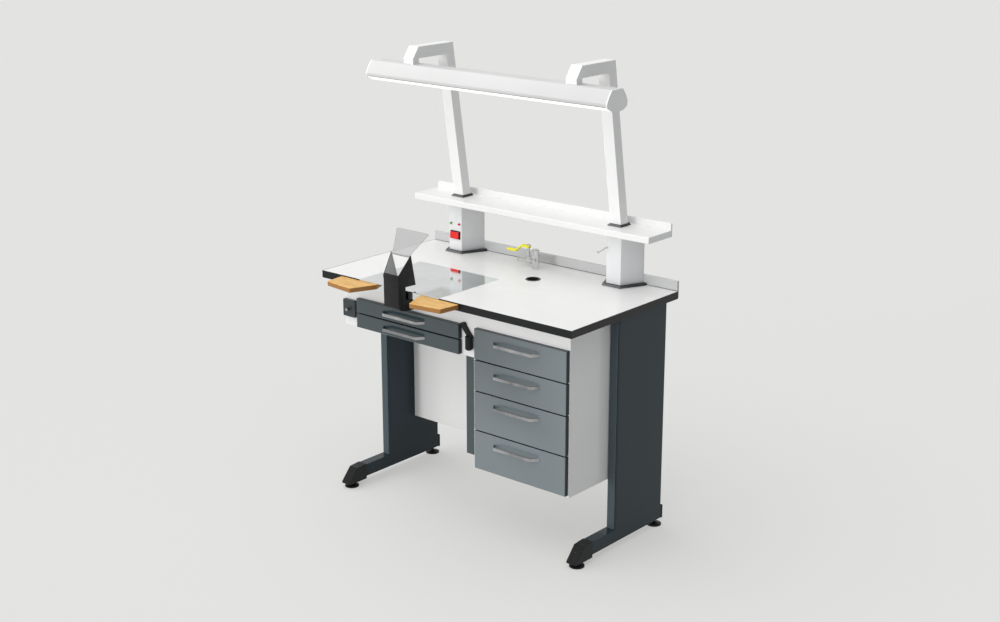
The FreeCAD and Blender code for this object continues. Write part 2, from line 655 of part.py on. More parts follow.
def make_toe_caps():
    """Cast shoes over the front ends of the foot beams, sloping down to the toe."""
    body = new_body("ToeCap", "leg_x", "toe_back", 0)
    side = [(0, "toe_bottom"), (0, "toe_top"), ("-toe_flat", "toe_top - toe_slope"),
            ("-toe_length", "toe_bottom + toe_tip"), ("-toe_length", "toe_bottom")]
    width = "leg_width + 2 * cap_wall"
    pad(body, add_outline(sketch_on(body, "YZ"), side), width, both=True)
    floor = sheet.get("toe_bottom") + CLEAR
    def bends(edge):
        return edge.BoundBox.YMax < -CLEAR and edge.BoundBox.ZMin > floor
    dress(body, "Fillet", "toe_round", edges_along(X_AXIS, bends))
    def upper_sides(edge):
        box = edge.BoundBox
        return box.XLength < FLAT and box.ZMax > floor and box.YMin < -CLEAR
    dress(body, "Chamfer", "cap_edge", upper_sides)
    half = "leg_width / 2 + cap_fit"
    cavity = rectangle(f"-({half})", "beam_bottom - cap_fit", half, "beam_top + cap_fit")
    pocket(body, add_outline(sketch_on(body, "XZ"), cavity), "toe_overlap + cap_fit", reverse=True)
    stem_hole = sketch_on(body, "XY", "toe_bottom")
    add_circle(stem_hole, 0, "foot_front_inset - toe_length", "stem_radius + stem_clear")
    pocket(body, stem_hole, "stem_top - toe_bottom + stem_clear", reverse=True)
    return finish(grouped("ToeCaps", [body, mirrored(body, "ToeCapLeft")]), "toe_caps")


def make_heel_caps():
    """Plugs in the back ends of the foot beams."""
    body = new_body("HeelCap", "leg_x", "leg_back", 0)
    half = "leg_width / 2 + heel_edge"
    face = rectangle(f"-({half})", "beam_bottom - heel_edge", half, "beam_top + heel_edge")
    pad(body, add_outline(sketch_on(body, "XZ"), face), "heel_thickness", reverse=True)
    rear = edges_along(X_AXIS, lambda edge: edge.BoundBox.YMin > CLEAR)
    dress(body, "Chamfer", "cap_edge", rear)
    inside = "leg_width / 2 - tube_wall - cap_fit"
    tongue = rectangle(f"-({inside})", "beam_bottom + tube_wall + cap_fit",
                       inside, "beam_top - tube_wall - cap_fit")
    pad(body, add_outline(sketch_on(body, "XZ"), tongue), "heel_tongue")
    return finish(grouped("HeelCaps", [body, mirrored(body, "HeelCapLeft")]), "heel_caps")


def make_levelling_foot(label, x, y):
    """Disc with a cone and a stem, turned to level the bench."""
    body = new_body("LevellingFoot", x, y, 0)
    outline = [(0, 0), ("foot_radius", 0), ("foot_radius", "foot_disc"),
               ("stem_radius", "foot_disc + foot_cone"), ("stem_radius", "stem_top"),
               (0, "stem_top")]
    revolve(body, add_outline(sketch_on(body, "XZ"), outline))
    return finish(body, label)


def make_levelling_feet():
    front = "toe_front + foot_front_inset"
    rear = "leg_back - foot_rear_inset"
    for end, y in (("front", front), ("rear", rear)):
        for side, x in (("left", "-leg_x"), ("right", "leg_x")):
            make_levelling_foot(f"levelling_foot_{end}_{side}", x, y)


# ---------------------------------------------------------------- boards under the worktop

def make_modesty_panel():
    low = ("-leg_inner", "modesty_face", "modesty_bottom")
    high = ("leg_inner", "modesty_face + board_thickness", "worktop_under")
    return finish(board("ModestyPanel", low, high), "modesty_panel")


def make_front_frame():
    """Apron board with an opening for the left drawers and a notch for the right ones."""
    outline = [("-leg_inner", "apron_bottom"), ("right_window_left", "apron_bottom"),
               ("right_window_left", "window_top"), ("right_window_right", "window_top"),
               ("right_window_right", "apron_bottom"), ("leg_inner", "apron_bottom"),
               ("leg_inner", "worktop_under"), ("-leg_inner", "worktop_under")]
    window = rectangle("case_left", "apron_bottom + board_thickness", "case_right", "window_top")
    body = new_body("FrontFrame", 0, "apron_face", 0)
    sketch = add_outline(sketch_on(body, "XZ"), outline)
    pad(body, add_outline(sketch, window), "board_thickness", reverse=True)
    return finish(body, "front_frame")


def make_upper_case():
    """Glued boards behind the frame: a floor, the left end and two walls for the drawers."""
    floor = "apron_bottom + board_thickness"
    under = "worktop_under"
    outline = [("-leg_inner", "apron_bottom"), ("cabinet_left", "apron_bottom"),
               ("cabinet_left", floor),
               ("case_right + board_thickness", floor), ("case_right + board_thickness", under),
               ("case_right", under), ("case_right", floor),
               ("case_left", floor), ("case_left", under),
               ("case_left - board_thickness", under), ("case_left - board_thickness", floor),
               ("board_thickness - leg_inner", floor), ("board_thickness - leg_inner", under),
               ("-leg_inner", under)]
    body = prism("UpperCase", "XZ", outline, "modesty_face - apron_face - board_thickness",
                 0, "apron_face + board_thickness", 0, reverse=True)
    return finish(body, "upper_case")


def make_cabinet():
    """Glued case of the right drawers: two sides and a floor, notched for the frame."""
    left = "cabinet_left"
    inner = "right_window_left"
    outline = [(left, "cabinet_bottom"), ("leg_inner", "cabinet_bottom"),
               ("leg_inner", "worktop_under"), ("right_window_right", "worktop_under"),
               ("right_window_right", "cabinet_bottom + board_thickness"),
               (inner, "cabinet_bottom + board_thickness"), (inner, "worktop_under"),
               (left, "worktop_under")]
    body = prism("Cabinet", "XZ", outline, "modesty_face - apron_face",
                 0, "apron_face", 0, reverse=True)
    notch = rectangle(0, "apron_bottom", "board_thickness", "worktop_under")
    pocket(body, add_outline(sketch_on(body, "YZ"), notch), "2 * worktop_width", both=True)
    return finish(body, "cabinet_case")


def make_suction_housing():
    """Closed box beside the cabinet, with a set-back front."""
    outline = rectangle("-housing_width", "cabinet_bottom", 0, "apron_bottom")
    front = "front_edge + housing_setback"
    body = prism("SuctionHousing", "XZ", outline, f"modesty_face - ({front})",
                 "cabinet_left", front, 0, reverse=True)
    dress(body, "Chamfer", "band_thickness", edges_along(Z_AXIS, front_edges(body)))
    return finish(body, "suction_housing")


# ---------------------------------------------------------------- drawers

def make_front(label, middle, width, low, height):
    """Drawer front with a bevel round its face."""
    outline = rectangle(f"-({width}) / 2", 0, f"({width}) / 2", height)
    body = prism("DrawerFront", "XZ", outline, "front_thickness", middle, "apron_face", low)
    dress(body, "Chamfer", "front_bevel", front_edges(body))
    return finish(body, label)


def make_box(label, left, right, low, high):
    """Open drawer box whose sides are grooved for the runner rails."""
    width = f"(({right}) - ({left}) - 2 * box_clear)"
    middle = f"(({left}) + ({right})) / 2"
    height = f"(({high}) - ({low}))"
    body = new_body("DrawerBox", middle, "apron_face", low)
    half = f"{width} / 2"
    pad(body, add_outline(sketch_on(body, "XY"),
                          rectangle(f"-{half}", 0, half, "box_depth")), height)
    inner = f"({half} - box_side)"
    hollow = rectangle(f"-{inner}", "box_side", inner, "box_depth - box_side")
    pocket(body, add_outline(sketch_on(body, "XY", height), hollow), f"{height} - box_floor")
    grooves = sketch_on(body, "XZ", "-box_depth")
    bottom = f"{height} / 2 - rail_height / 2 - rail_fit"
    top = f"{height} / 2 + rail_height / 2 + rail_fit"
    depth = "(rail_reach - box_clear + rail_fit)"
    for sign in ("-", ""):
        ends = [f"{sign}({half} - {depth})", f"{sign}({half} + cut_over)"]
        if sign:
            ends.reverse()
        add_outline(grooves, rectangle(ends[0], bottom, ends[1], top))
    pocket(body, grooves, "box_depth - box_side", reverse=True)
    return finish(body, label)


def make_handle(label, middle, top):
    """Bow of flat strip: a straight bar with a slanted end to each foot."""
    foot = "handle_span / 2"
    bar = "handle_bar / 2"
    body = new_body("Handle", middle, "apron_face - front_thickness",
                    f"{top} - handle_height")
    thick = "handle_strip"
    outline = [(f"-{foot}", 0), (f"-{bar}", "-handle_stand"), (bar, "-handle_stand"), (foot, 0),
               (f"{foot} - handle_foot", 0), (f"{bar} - handle_bend", f"{thick} - handle_stand"),
               (f"handle_bend - {bar}", f"{thick} - handle_stand"), (f"handle_foot - {foot}", 0)]
    pad(body, add_outline(sketch_on(body, "XY"), outline), "handle_height")
    bends = edges_along(Z_AXIS, lambda edge: edge.BoundBox.YMax < -CLEAR)
    dress(body, "Fillet", "handle_strip / 2", bends)
    return finish(body, label)


def make_rail(side, wall_x, low, high):
    """Plain rail on a case wall at half the height of its drawer box."""
    middle = f"(({low}) + ({high})) / 2"
    near, far = (wall_x, f"({wall_x}) + rail_reach")
    if side == "right":
        near, far = (f"({wall_x}) - rail_reach", wall_x)
    start = "apron_face + board_thickness"
    return board("Rail", (near, start, f"{middle} - rail_height / 2"),
                 (far, f"{start} + rail_length", f"{middle} + rail_height / 2"))


def make_drawers():
    """Two shallow drawers on the left; two medium and two deep drawers on the right."""
    left_unit = ("left", "left_unit_x", "left_front_width", "shallow_drop",
                 "case_left", "case_right", ("shallow_front", "shallow_front"))
    right_unit = ("right", "right_unit_x", "right_front_width", "handle_drop",
                  "right_window_left", "right_window_right",
                  ("medium_front", "medium_front", "deep_front", "deep_front"))
    rails = []
    for name, middle, width, drop, left, right, heights in (left_unit, right_unit):
        top = "drawers_top"
        for number, height in enumerate(heights, 1):
            low = f"{top} - {height}"
            box_low = f"{low} + box_lift"
            box_high = f"{top} - box_drop"
            make_front(f"drawer_front_{name}_{number}", middle, width, low, height)
            make_box(f"drawer_box_{name}_{number}", left, right, box_low, box_high)
            make_handle(f"drawer_handle_{name}_{number}", f"{middle} - handle_shift",
                        f"{top} - {drop}")
            rails.append(make_rail("left", left, box_low, box_high))
            rails.append(make_rail("right", right, box_low, box_high))
            top = f"{low} - front_gap"
    return finish(grouped("DrawerRails", rails), "drawer_rails")


# ---------------------------------------------------------------- controls under the worktop

def make_knee_lever():
    """Crank with a round pivot end and an upright grip, in front of the frame."""
    body = new_body("KneeLever", "lever_x", "apron_face - lever_clear", "lever_height")
    half = "lever_width / 2"
    socket = "-lever_fall - lever_socket"
    arm = [(f"-{half}", 0), (half, 0), (f"lever_run + {half}", "-lever_fall"),
           (f"lever_run + {half}", socket), (f"lever_run - {half}", socket),
           (f"lever_run - {half}", "-lever_fall")]
    pad(body, add_outline(sketch_on(body, "XZ"), arm), "lever_thickness")
    pad(body, add_circle(sketch_on(body, "XZ"), 0, 0, half), "lever_thickness")
    grip = sketch_on(body, "XZ", "grip_radius")
    grip.setExpression("AttachmentOffset.Base.x", bound("lever_run"))
    top = "(grip_lap - lever_fall)"
    low = f"({top} - grip_length)"
    outline = [(0, top), ("grip_radius", top), ("grip_radius", f"{low} + grip_tip_bevel"),
               ("grip_radius - grip_tip_bevel", low), (0, low)]
    revolve(body, add_outline(grip, outline))
    return finish(body, "knee_lever")


def make_control_plate():
    """Rounded block on the frame, with a raised ring and a bore for the knob."""
    body = new_body("ControlPlate", "plate_inset - leg_inner", "apron_face", "plate_bottom")
    outline = rectangle(0, 0, "plate_width", "plate_height")
    pad(body, add_outline(sketch_on(body, "XZ"), outline), "plate_thickness")
    dress(body, "Fillet", "plate_corner", edges_along(Y_AXIS))
    dress(body, "Chamfer", "plate_bevel", front_edges(body))
    ring = sketch_on(body, "XZ", "plate_thickness")
    add_circle(ring, "plate_width / 2", "knob_rise", "collar_radius")
    pad(body, ring, "collar_rise")
    bore = sketch_on(body, "XZ", "plate_thickness + collar_rise")
    add_circle(bore, "plate_width / 2", "knob_rise", "knob_radius + knob_clear")
    pocket(body, bore, "plate_thickness + collar_rise - knob_clear")
    return finish(body, "control_plate")


def make_knob():
    """Push-pull knob: a round stem with a wider tip."""
    body = new_body("Knob", "plate_inset - leg_inner + plate_width / 2", "apron_face",
                    "plate_bottom + knob_rise")
    stem = sketch_on(body, "XZ", "2 * knob_clear")
    add_circle(stem, 0, 0, "knob_radius")
    pad(body, stem, "plate_thickness + knob_out - knob_tip_length - 2 * knob_clear")
    tip = sketch_on(body, "XZ", "plate_thickness + knob_out - knob_tip_length")
    add_circle(tip, 0, 0, "knob_tip_radius")
    pad(body, tip, "knob_tip_length")
    dress(body, "Chamfer", "knob_bevel", front_edges(body))
    return finish(body, "push_pull_knob")


# ---------------------------------------------------------------- work station

def make_armrests():
    """Wooden rests that butt against the worktop's front, mirrored about the station."""
    body = new_body("ArmrestRight", "station_x", "front_edge",
                    "worktop_height - armrest_drop - armrest_thickness")
    outline = [("armrest_inner_rear", 0), ("armrest_inner_front", "-armrest_reach"),
               ("armrest_outer_front", "-armrest_outer_reach"), ("armrest_outer_rear", 0)]
    pad(body, add_outline(sketch_on(body, "XY"), outline), "armrest_thickness")
    corners = edges_along(Z_AXIS, lambda edge: edge.BoundBox.YMax < -CLEAR)
    dress(body, "Fillet", "armrest_corner", corners)
    def rim(edge):
        return edge.BoundBox.ZLength < FLAT and edge.BoundBox.YMin < -CLEAR
    dress(body, "Chamfer", "armrest_edge", rim)
    finish(body, "armrest_right")
    return finish(mirrored(body, "ArmrestLeft", "station_x"), "armrest_left")


def hood_shape(name, inset, side):
    """Side view, plan and front view of the hood, each extruded and then intersected."""
    front = f"{inset} - hood_reach"
    back = "hood_wing_back"
    end = "apron_setback + cut_over"
    plan = [(f"{inset} - hood_half_front", front), (f"hood_half_front - {inset}", front),
            (f"hood_half_back - {inset}", back), (f"hood_half_back - {inset}", end),
            (f"{inset} - hood_half_back", end), (f"{inset} - hood_half_back", back)]
    low = f"hood_lowest + {inset}"
    view = rectangle(f"{inset} - hood_half_back", low, f"hood_half_back - {inset}",
                     "worktop_height + 2 * hood_peak")
    where = ("station_x", "front_edge", 0)
    side_body = prism(f"{name}Side", "YZ", side, "4 * hood_half_back", *where, both=True)
    plan_body = prism(f"{name}Plan", "XY", plan, "2 * worktop_height", *where)
    view_body = prism(f"{name}View", "XZ", view, "4 * hood_half_back", *where, both=True)
    doc.recompute()
    floor = view_body.Tip.Shape.BoundBox.ZMin + CLEAR
    bottom = edges_along(Y_AXIS, lambda edge: edge.BoundBox.ZMax < floor)
    dress(view_body, "Fillet", f"hood_bottom_round - {inset}", bottom)
    return boolean("MultiCommon", name, [side_body, plan_body, view_body])


def make_hood():
    """Scoop in front of the worktop with two wings, and a duct back to the frame."""
    top = "worktop_height + hood_front_top"
    notch = "worktop_height + hood_wing_gap"
    outer = [("-hood_reach", top), ("hood_peak_back", "worktop_height + hood_peak"),
             ("hood_wing_back", f"{notch} + hood_wing_rise"), ("-hood_stand_off", notch),
             ("-hood_stand_off", "worktop_under - hood_under"),
             ("apron_setback", "worktop_under - hood_under"), ("apron_setback", "duct_bottom"),
             ("duct_bend", "hood_lowest"), ("-hood_chin", "hood_lowest + hood_chin_rise"),
             ("-hood_reach", "hood_lowest + hood_front_low")]
    wall = "hood_wall"
    rear = f"-hood_stand_off - {wall}"
    duct_top = f"worktop_under - hood_under - {wall}"
    above = "worktop_height + 2 * hood_peak"
    duct_end = "apron_setback + cut_over"
    wing_end = "hood_wing_back + cut_over"
    inner = [(f"{wall} - hood_reach", above),
             (f"{wall} - hood_reach", "hood_lowest + hood_front_low"),
             (f"{wall} - hood_chin", f"hood_lowest + hood_chin_rise + {wall}"),
             ("duct_bend", f"hood_lowest + {wall}"), (duct_end, f"duct_bottom + {wall}"),
             (duct_end, duct_top), (rear, duct_top), (rear, notch), (wing_end, notch),
             (wing_end, above)]
    shell = boolean("Cut", "HoodShell",
                    [hood_shape("HoodOuter", "0", outer), hood_shape("HoodInner", wall, inner)])
    front = "front_edge - hood_reach"
    rim = board("HoodRim",
                ("station_x - hood_half_front", f"{front} - hood_rim_thickness",
                 f"{top} - hood_rim_height"),
                ("station_x + hood_half_front", front, top))
    return finish(boolean("MultiFuse", "Hood", [shell, rim]), "suction_hood")


def on_pivot(name):
    """An empty body at the shield's pivot, leaning back with the shield."""
    body = doc.addObject("PartDesign::Body", name)
    body.Placement = FreeCAD.Placement(FreeCAD.Vector(0, 0, 0), FreeCAD.Rotation(X_AXIS, -1))
    place(body, "station_x", "front_edge + hood_peak_back - shield_pivot_forward",
          "worktop_height + hood_peak - shield_pivot_drop")
    body.setExpression("Placement.Rotation.Angle", bound("-shield_lean"))
    return body


def make_shield():
    """Clear plate on a rod that turns between the wing peaks."""
    body = on_pivot("Shield")
    low = "shield_rod_radius"
    high = "shield_length + shield_pivot_drop"
    outline = [("-shield_half_bottom", low), ("shield_half_bottom", low),
               ("shield_half_bottom", "shield_flare"), ("shield_half_top", high),
               ("-shield_half_top", high), ("-shield_half_bottom", "shield_flare")]
    pad(body, add_outline(sketch_on(body, "XZ"), outline), "shield_thickness", both=True)
    flare = sheet.get("shield_flare") + CLEAR
    upper = edges_along(Y_AXIS, lambda edge: edge.BoundBox.ZMin > flare)
    dress(body, "Fillet", "shield_corner", upper)
    finish(body, "tilt_shield")

    rod = on_pivot("ShieldRod")
    round_end = add_circle(sketch_on(rod, "YZ"), 0, 0, "shield_rod_radius")
    pad(rod, round_end, "2 * shield_half_bottom", both=True)
    return finish(rod, "shield_rod")


# ---------------------------------------------------------------- pillars, shelf and posts

def pillar_outline(inset):
    """Plan of a pillar from its front face: narrow in front, flared to a straight back."""
    front = f"pillar_front_width / 2 - {inset}"
    back = f"pillar_back_width / 2 - {inset}"
    end = f"back_edge - pillar_front - {inset}"
    return [(f"-({front})", inset), (front, inset), (back, f"pillar_flare + {inset} / 2"),
            (back, end), (f"-({back})", end), (f"-({back})", f"pillar_flare + {inset} / 2")]


def make_pillar(label, x):
    """Sheet-metal pillar between worktop and shelf, open inside."""
    body = new_body("Pillar", x, "pillar_front", "pillar_bottom")
    sketch = add_outline(sketch_on(body, "XY"), pillar_outline("0"))
    add_outline(sketch, pillar_outline("pillar_wall"))
    pad(body, sketch, "shelf_under - pillar_bottom")
    return body, finish(body, label)


def make_pillars():
    left, _ = make_pillar("pillar_left", "pillar_shift - pillar_x")
    opening = sketch_on(left, "XZ")
    half = "switch_width / 2 - switch_frame / 2"
    low = "switch_bottom + switch_frame / 2 - pillar_bottom"
    high = "switch_bottom + switch_height - switch_frame / 2 - pillar_bottom"
    add_outline(opening, rectangle(f"-({half})", low, half, high))
    pocket(left, opening, "pillar_wall")
    make_pillar("pillar_right", "pillar_shift + pillar_x")


def flared_plate(name, outline, x, y, z):
    """Low black plate with a slanted edge at its front and sides."""
    body = prism(name, "XY", outline, "plate_rise", x, y, z)
    def outer(edge):
        box = edge.BoundBox
        back = body.Tip.Shape.BoundBox.YMax
        return box.ZLength < FLAT and box.ZMin > CLEAR and box.YMin < back - FLAT
    dress(body, "Chamfer", "plate_flare", outer)
    return body


def make_base_plates():
    """Plates under the pillars on the worktop, and under the posts on the shelf."""
    front = "(pillar_front_width / 2 + plate_spread)"
    back = "(pillar_back_width / 2 + plate_spread)"
    end = "back_edge - pillar_front"
    pillar_plate = [(f"-{front}", "-plate_spread"), (front, "-plate_spread"),
                    (back, "pillar_flare - plate_spread / 2"), (back, end),
                    (f"-{back}", end), (f"-{back}", "pillar_flare - plate_spread / 2")]
    half = "post_plate_width / 2"
    post_plate = rectangle(f"-{half}", 0, half, "post_plate_depth")
    post_y = "post_front + post_depth / 2 - post_plate_depth / 2"
    plates = []
    for sign in ("-", "+"):
        plates.append(flared_plate("PillarPlate", pillar_plate, f"pillar_shift {sign} pillar_x",
                                   "pillar_front", "worktop_height"))
        plates.append(flared_plate("PostPlate", post_plate, f"pillar_shift {sign} post_x",
                                   post_y, "shelf_height"))
    return finish(grouped("BasePlates", plates), "base_plates")


def make_shelf():
    """Shelf with a strip standing up along its back."""
    low = "-shelf_thickness"
    outline = [("-shelf_depth", low), (0, low), (0, "shelf_lip"),
               ("-shelf_lip_thickness", "shelf_lip"), ("-shelf_lip_thickness", 0),
               ("-shelf_depth", 0)]
    body = prism("Shelf", "YZ", outline, "shelf_width", 0, "back_edge", "shelf_height", both=True)
    dress(body, "Fillet", "shelf_edge", edges_along(X_AXIS, front_edges(body)))
    return finish(body, "shelf")


def make_post(label, x):
    """Box-tube post that leans forward and turns into an arm, with a block under its end."""
    body = new_body("Post", x, "post_front", "post_bottom")
    rise = "(arm_bottom - post_bottom)"
    top = "(arm_top - post_bottom)"
    tip = "(arm_tip - post_front)"
    nose = "(arm_tip - post_front - nose_slant)"
    pad_end = f"({nose} + pad_length)"
    outline = [(0, 0), ("-lean_to_arm", rise), (pad_end, rise), (pad_end, f"{rise} - pad_rise"),
               (f"{nose} + 1", f"{rise} - pad_rise"), (nose, rise), (tip, top),
               ("post_depth - lean_to_top", top), ("post_depth", 0)]
    pad(body, add_outline(sketch_on(body, "YZ"), outline), "post_width", both=True)
    wall = "post_wall"
    inner = [(wall, "-cut_over"), (f"{wall} - lean_to_arm", f"{rise} + {wall}"),
             (f"{nose} + 2.5 * {wall}", f"{rise} + {wall}"),
             (f"{tip} + {wall} / 2", f"{top} - {wall}"),
             (f"post_depth - lean_to_top - {wall}", f"{top} - {wall}"),
             (f"post_depth - {wall}", "-cut_over")]
    hollow = add_outline(sketch_on(body, "YZ"), inner)
    pocket(body, hollow, f"post_width - 2 * {wall}", both=True)
    return finish(body, label)


# ---------------------------------------------------------------- lamp

def lamp_prism(name, length, x="pillar_shift"):
    """The lamp's whole section from its middle, extruded sideways."""
    section = [("-roof_front", 0), ("roof_back", 0), ("shoulder_back", "-shoulder_back_drop"),
               ("lamp_tail", "-lamp_seam"), ("lens_back", "-lens_back_drop"),
               ("lens_heel", "-lens_heel_drop"), ("lens_low", "-lamp_height"),
               ("-lens_bend", "-lens_bend_drop"), ("-lens_front", "-lens_front_drop"),
               ("-lamp_nose", "-lamp_seam"), ("-shoulder_front", "-shoulder_front_drop")]
    body = new_body(name, x, "lamp_y", "lamp_top")
    sketch = add_outline(sketch_on(body, "YZ"), section)
    pad(body, sketch, length, both=True)
    return body, sketch


def lamp_core(sketch):
    """The space inside the lamp: its section less the wall, extruded past both ends."""
    smaller = doc.addObject("Part::Offset2D", "LampInside")
    smaller.Source = sketch
    smaller.Join = "Intersection"
    smaller.setExpression("Value", bound("-lamp_wall"))
    core = doc.addObject("Part::Extrusion", "LampCore")
    core.Base = smaller
    core.Dir = X_AXIS
    core.Solid = True
    core.Symmetric = True
    core.setExpression("LengthFwd", bound("lamp_length"))
    return place(core, "pillar_shift", "lamp_y", "lamp_top")


def make_lamp():
    """Extruded housing over a bright diffuser, closed by two end caps."""
    outer, section = lamp_prism("LampOuter", "lamp_length - 2 * lamp_cap")
    shell = boolean("Cut", "LampShell", [outer, lamp_core(section)])
    seam = "lamp_top - lamp_seam"
    halves = (("LampHousing", "lamp_housing", seam, "lamp_top"),
              ("LampDiffuser", "lamp_diffuser", "lamp_top - lamp_height",
               f"{seam} - lamp_seam_gap"))
    for name, label, low, high in halves:
        side = board(f"{name}Side", ("pillar_shift - lamp_length / 2", "lamp_y - lamp_nose", low),
                     ("pillar_shift + lamp_length / 2", "lamp_y + lamp_nose", high))
        finish(boolean("MultiCommon", name, [shell, side]), label)
    caps = []
    for sign in ("-", "+"):
        middle = f"pillar_shift {sign} (lamp_length / 2 - lamp_cap / 2)"
        caps.append(lamp_prism("LampCap", "lamp_cap", middle)[0])
    return finish(grouped("LampCaps", caps), "lamp_end_caps")


# ---------------------------------------------------------------- switch, lamps, hook and tap

def make_switch():
    """Bezel with an open body behind it, in the left pillar's front, and its rocker."""
    x = "pillar_shift - pillar_x"
    body = new_body("SwitchFrame", x, "pillar_front", "switch_bottom")
    half = "switch_width / 2"
    pad(body, add_outline(sketch_on(body, "XZ"), rectangle(f"-{half}", 0, half, "switch_height")),
        "switch_rise")
    inset = "(switch_frame / 2 + switch_fit)"
    shell = rectangle(f"-({half} - {inset})", inset, f"{half} - {inset}", f"switch_height - {inset}")
    pad(body, add_outline(sketch_on(body, "XZ"), shell), "switch_depth", reverse=True)
    window = rectangle(f"-({half} - switch_frame)", "switch_frame", f"{half} - switch_frame",
                       "switch_height - switch_frame")
    pocket(body, add_outline(sketch_on(body, "XZ", "switch_rise"), window),
           "switch_rise + switch_depth - switch_back")
    finish(body, "switch_frame")

    rocker = new_body("Rocker", x, "pillar_front", "switch_bottom + switch_height / 2")
    high = "(switch_height / 2 - switch_frame - rocker_fit)"
    side = [("-rocker_low", f"-{high}"), ("-rocker_dip", 0), ("-rocker_proud", high),
            ("rocker_root", high), ("rocker_depth", 0), ("rocker_root", f"-{high}")]
    pad(rocker, add_outline(sketch_on(rocker, "YZ"), side),
        "switch_width - 2 * switch_frame - 2 * rocker_fit", both=True)
    return finish(rocker, "rocker")


def make_indicators():
    """Two round indicator lamps above the switch."""
    lamps = []
    for sign in ("-", "+"):
        x = f"pillar_shift - pillar_x {sign} lamp_spacing / 2"
        body = new_body("Indicator", x, "pillar_front", "indicator_height")
        sketch = sketch_on(body, "XZ")
        pad(body, add_circle(sketch, 0, 0, "indicator_radius"), "indicator_out")
        lamps.append(body)
    return finish(grouped("Indicators", lamps), "indicator_lamps")


def make_hook():
    """Wire hook on the front of the right pillar, bent to the left, down and up again."""
    x = sheet.get("pillar_shift") + sheet.get("pillar_x") - sheet.get("pillar_front_width") / 2
    radius = sheet.get("hook_wire")
    slope = math.radians(sheet.get("hook_fall"))
    along = FreeCAD.Vector(-math.cos(slope), 0, -math.sin(slope))
    upward = FreeCAD.Vector(-math.sin(slope), 0, math.cos(slope))
    start = FreeCAD.Vector(x + 2 * radius, sheet.get("pillar_front"), sheet.get("hook_height"))
    root = start - Y_AXIS * sheet.get("hook_root")
    low = root + along * sheet.get("hook_reach")
    tip = low + upward * sheet.get("hook_tip")
    path = Part.makePolygon([start, root, low, tip])
    ring = Part.Wire([Part.Circle(start, Y_AXIS, radius).toShape()])
    right_corner = 1
    hook = doc.addObject("Part::Feature", "Hook")
    hook.Shape = path.makePipeShell([ring], True, False, right_corner)
    return finish(hook, "pillar_hook")


def make_tap():
    """Gas tap: a turned body with a cap, a side nozzle and an upright spindle."""
    where = ("tap_x", "front_edge + tap_setback", "worktop_height")
    column = new_body("TapColumn", *where)
    cap = "tap_body_height + tap_cap_height"
    outline = [(0, 0), ("tap_radius", 0), ("tap_radius", "tap_body_height - 2 * tap_bevel"),
               ("tap_neck_radius", "tap_body_height - tap_bevel"),
               ("tap_neck_radius", "tap_body_height"),
               ("tap_cap_radius", "tap_body_height + tap_bevel"),
               ("tap_cap_radius", f"{cap} - 2 * tap_bevel"),
               ("tap_cap_radius - 2 * tap_bevel", cap), (0, cap)]
    revolve(column, add_outline(sketch_on(column, "XZ"), outline))
    nozzle = new_body("TapNozzle", *where)
    tube = sketch_on(nozzle, "YZ", "-tap_nozzle_reach")
    add_circle(tube, 0, "tap_nozzle_height", "tap_nozzle_radius")
    pad(nozzle, tube, "tap_nozzle_reach")
    bore = sketch_on(nozzle, "YZ", "-tap_nozzle_reach")
    add_circle(bore, 0, "tap_nozzle_height", "tap_bore_radius")
    pocket(nozzle, bore, "tap_bore_length", reverse=True)
    spindle = new_body("TapSpindle", *where)
    stem = sketch_on(spindle, "XY", "tap_nozzle_height")
    add_circle(stem, "-spindle_offset", 0, "spindle_radius")
    pad(spindle, stem, "spindle_top - tap_nozzle_height")
    finish(boolean("MultiFuse", "Tap", [column, nozzle, spindle]), "tap_body")

    lever = new_body("TapLever", "tap_x - spindle_offset", "front_edge + tap_setback",
                     "worktop_height + spindle_top + tap_lever_clear")
    thick = "tap_lever_thickness"
    under = "-tap_lever_fall"
    bevel = "tap_bevel / 2"
    side = [("spindle_radius", 0), ("spindle_radius", thick), ("-tap_lever_flat", thick),
            ("-tap_lever_bend", f"{thick} + {under}"), ("-tap_lever_length", f"{thick} + {under}"),
            ("-tap_lever_length", under), (f"-tap_lever_bend - {bevel}", under),
            (f"-tap_lever_flat - {bevel}", 0)]
    pad(lever, add_outline(sketch_on(lever, "XZ"), side), "tap_lever_width", both=True)
    return finish(lever, "tap_lever")


# ---------------------------------------------------------------- the bench

def make_bench():
    make_worktop()
    make_edge_band()
    make_upstand()
    make_insert()
    make_grommet()
    make_legs()
    make_toe_caps()
    make_heel_caps()
    make_levelling_feet()
    make_modesty_panel()
    make_front_frame()
    make_upper_case()
    make_cabinet()
    make_suction_housing()
    make_drawers()
    make_knee_lever()
    make_control_plate()
    make_knob()
    make_armrests()
    make_hood()
    make_shield()
    make_pillars()
    make_base_plates()
    make_shelf()
    make_post("post_left", "pillar_shift - post_x")
    make_post("post_right", "pillar_shift + post_x")
    make_lamp()
    make_switch()
    make_indicators()
    make_hook()
    make_tap()


def write_parts():
    """Check every object, then write one file for each sub-part."""
    doc.recompute()
    for item in doc.Objects:
        if "Invalid" in item.State or "Error" in item.State:
            raise RuntimeError(f"{item.Name} ({item.Label}) did not build")
    for node in nodes:
        if node.Shape.isNull() or not node.Shape.isValid() or not node.Shape.Solids:
            raise RuntimeError(f"{node.Label} has no valid solid")
    os.makedirs("parts", exist_ok=True)
    for node in nodes:
        node.Shape.exportStep(f"parts/{node.Label}.step")


make_bench()
write_parts()
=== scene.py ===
import math

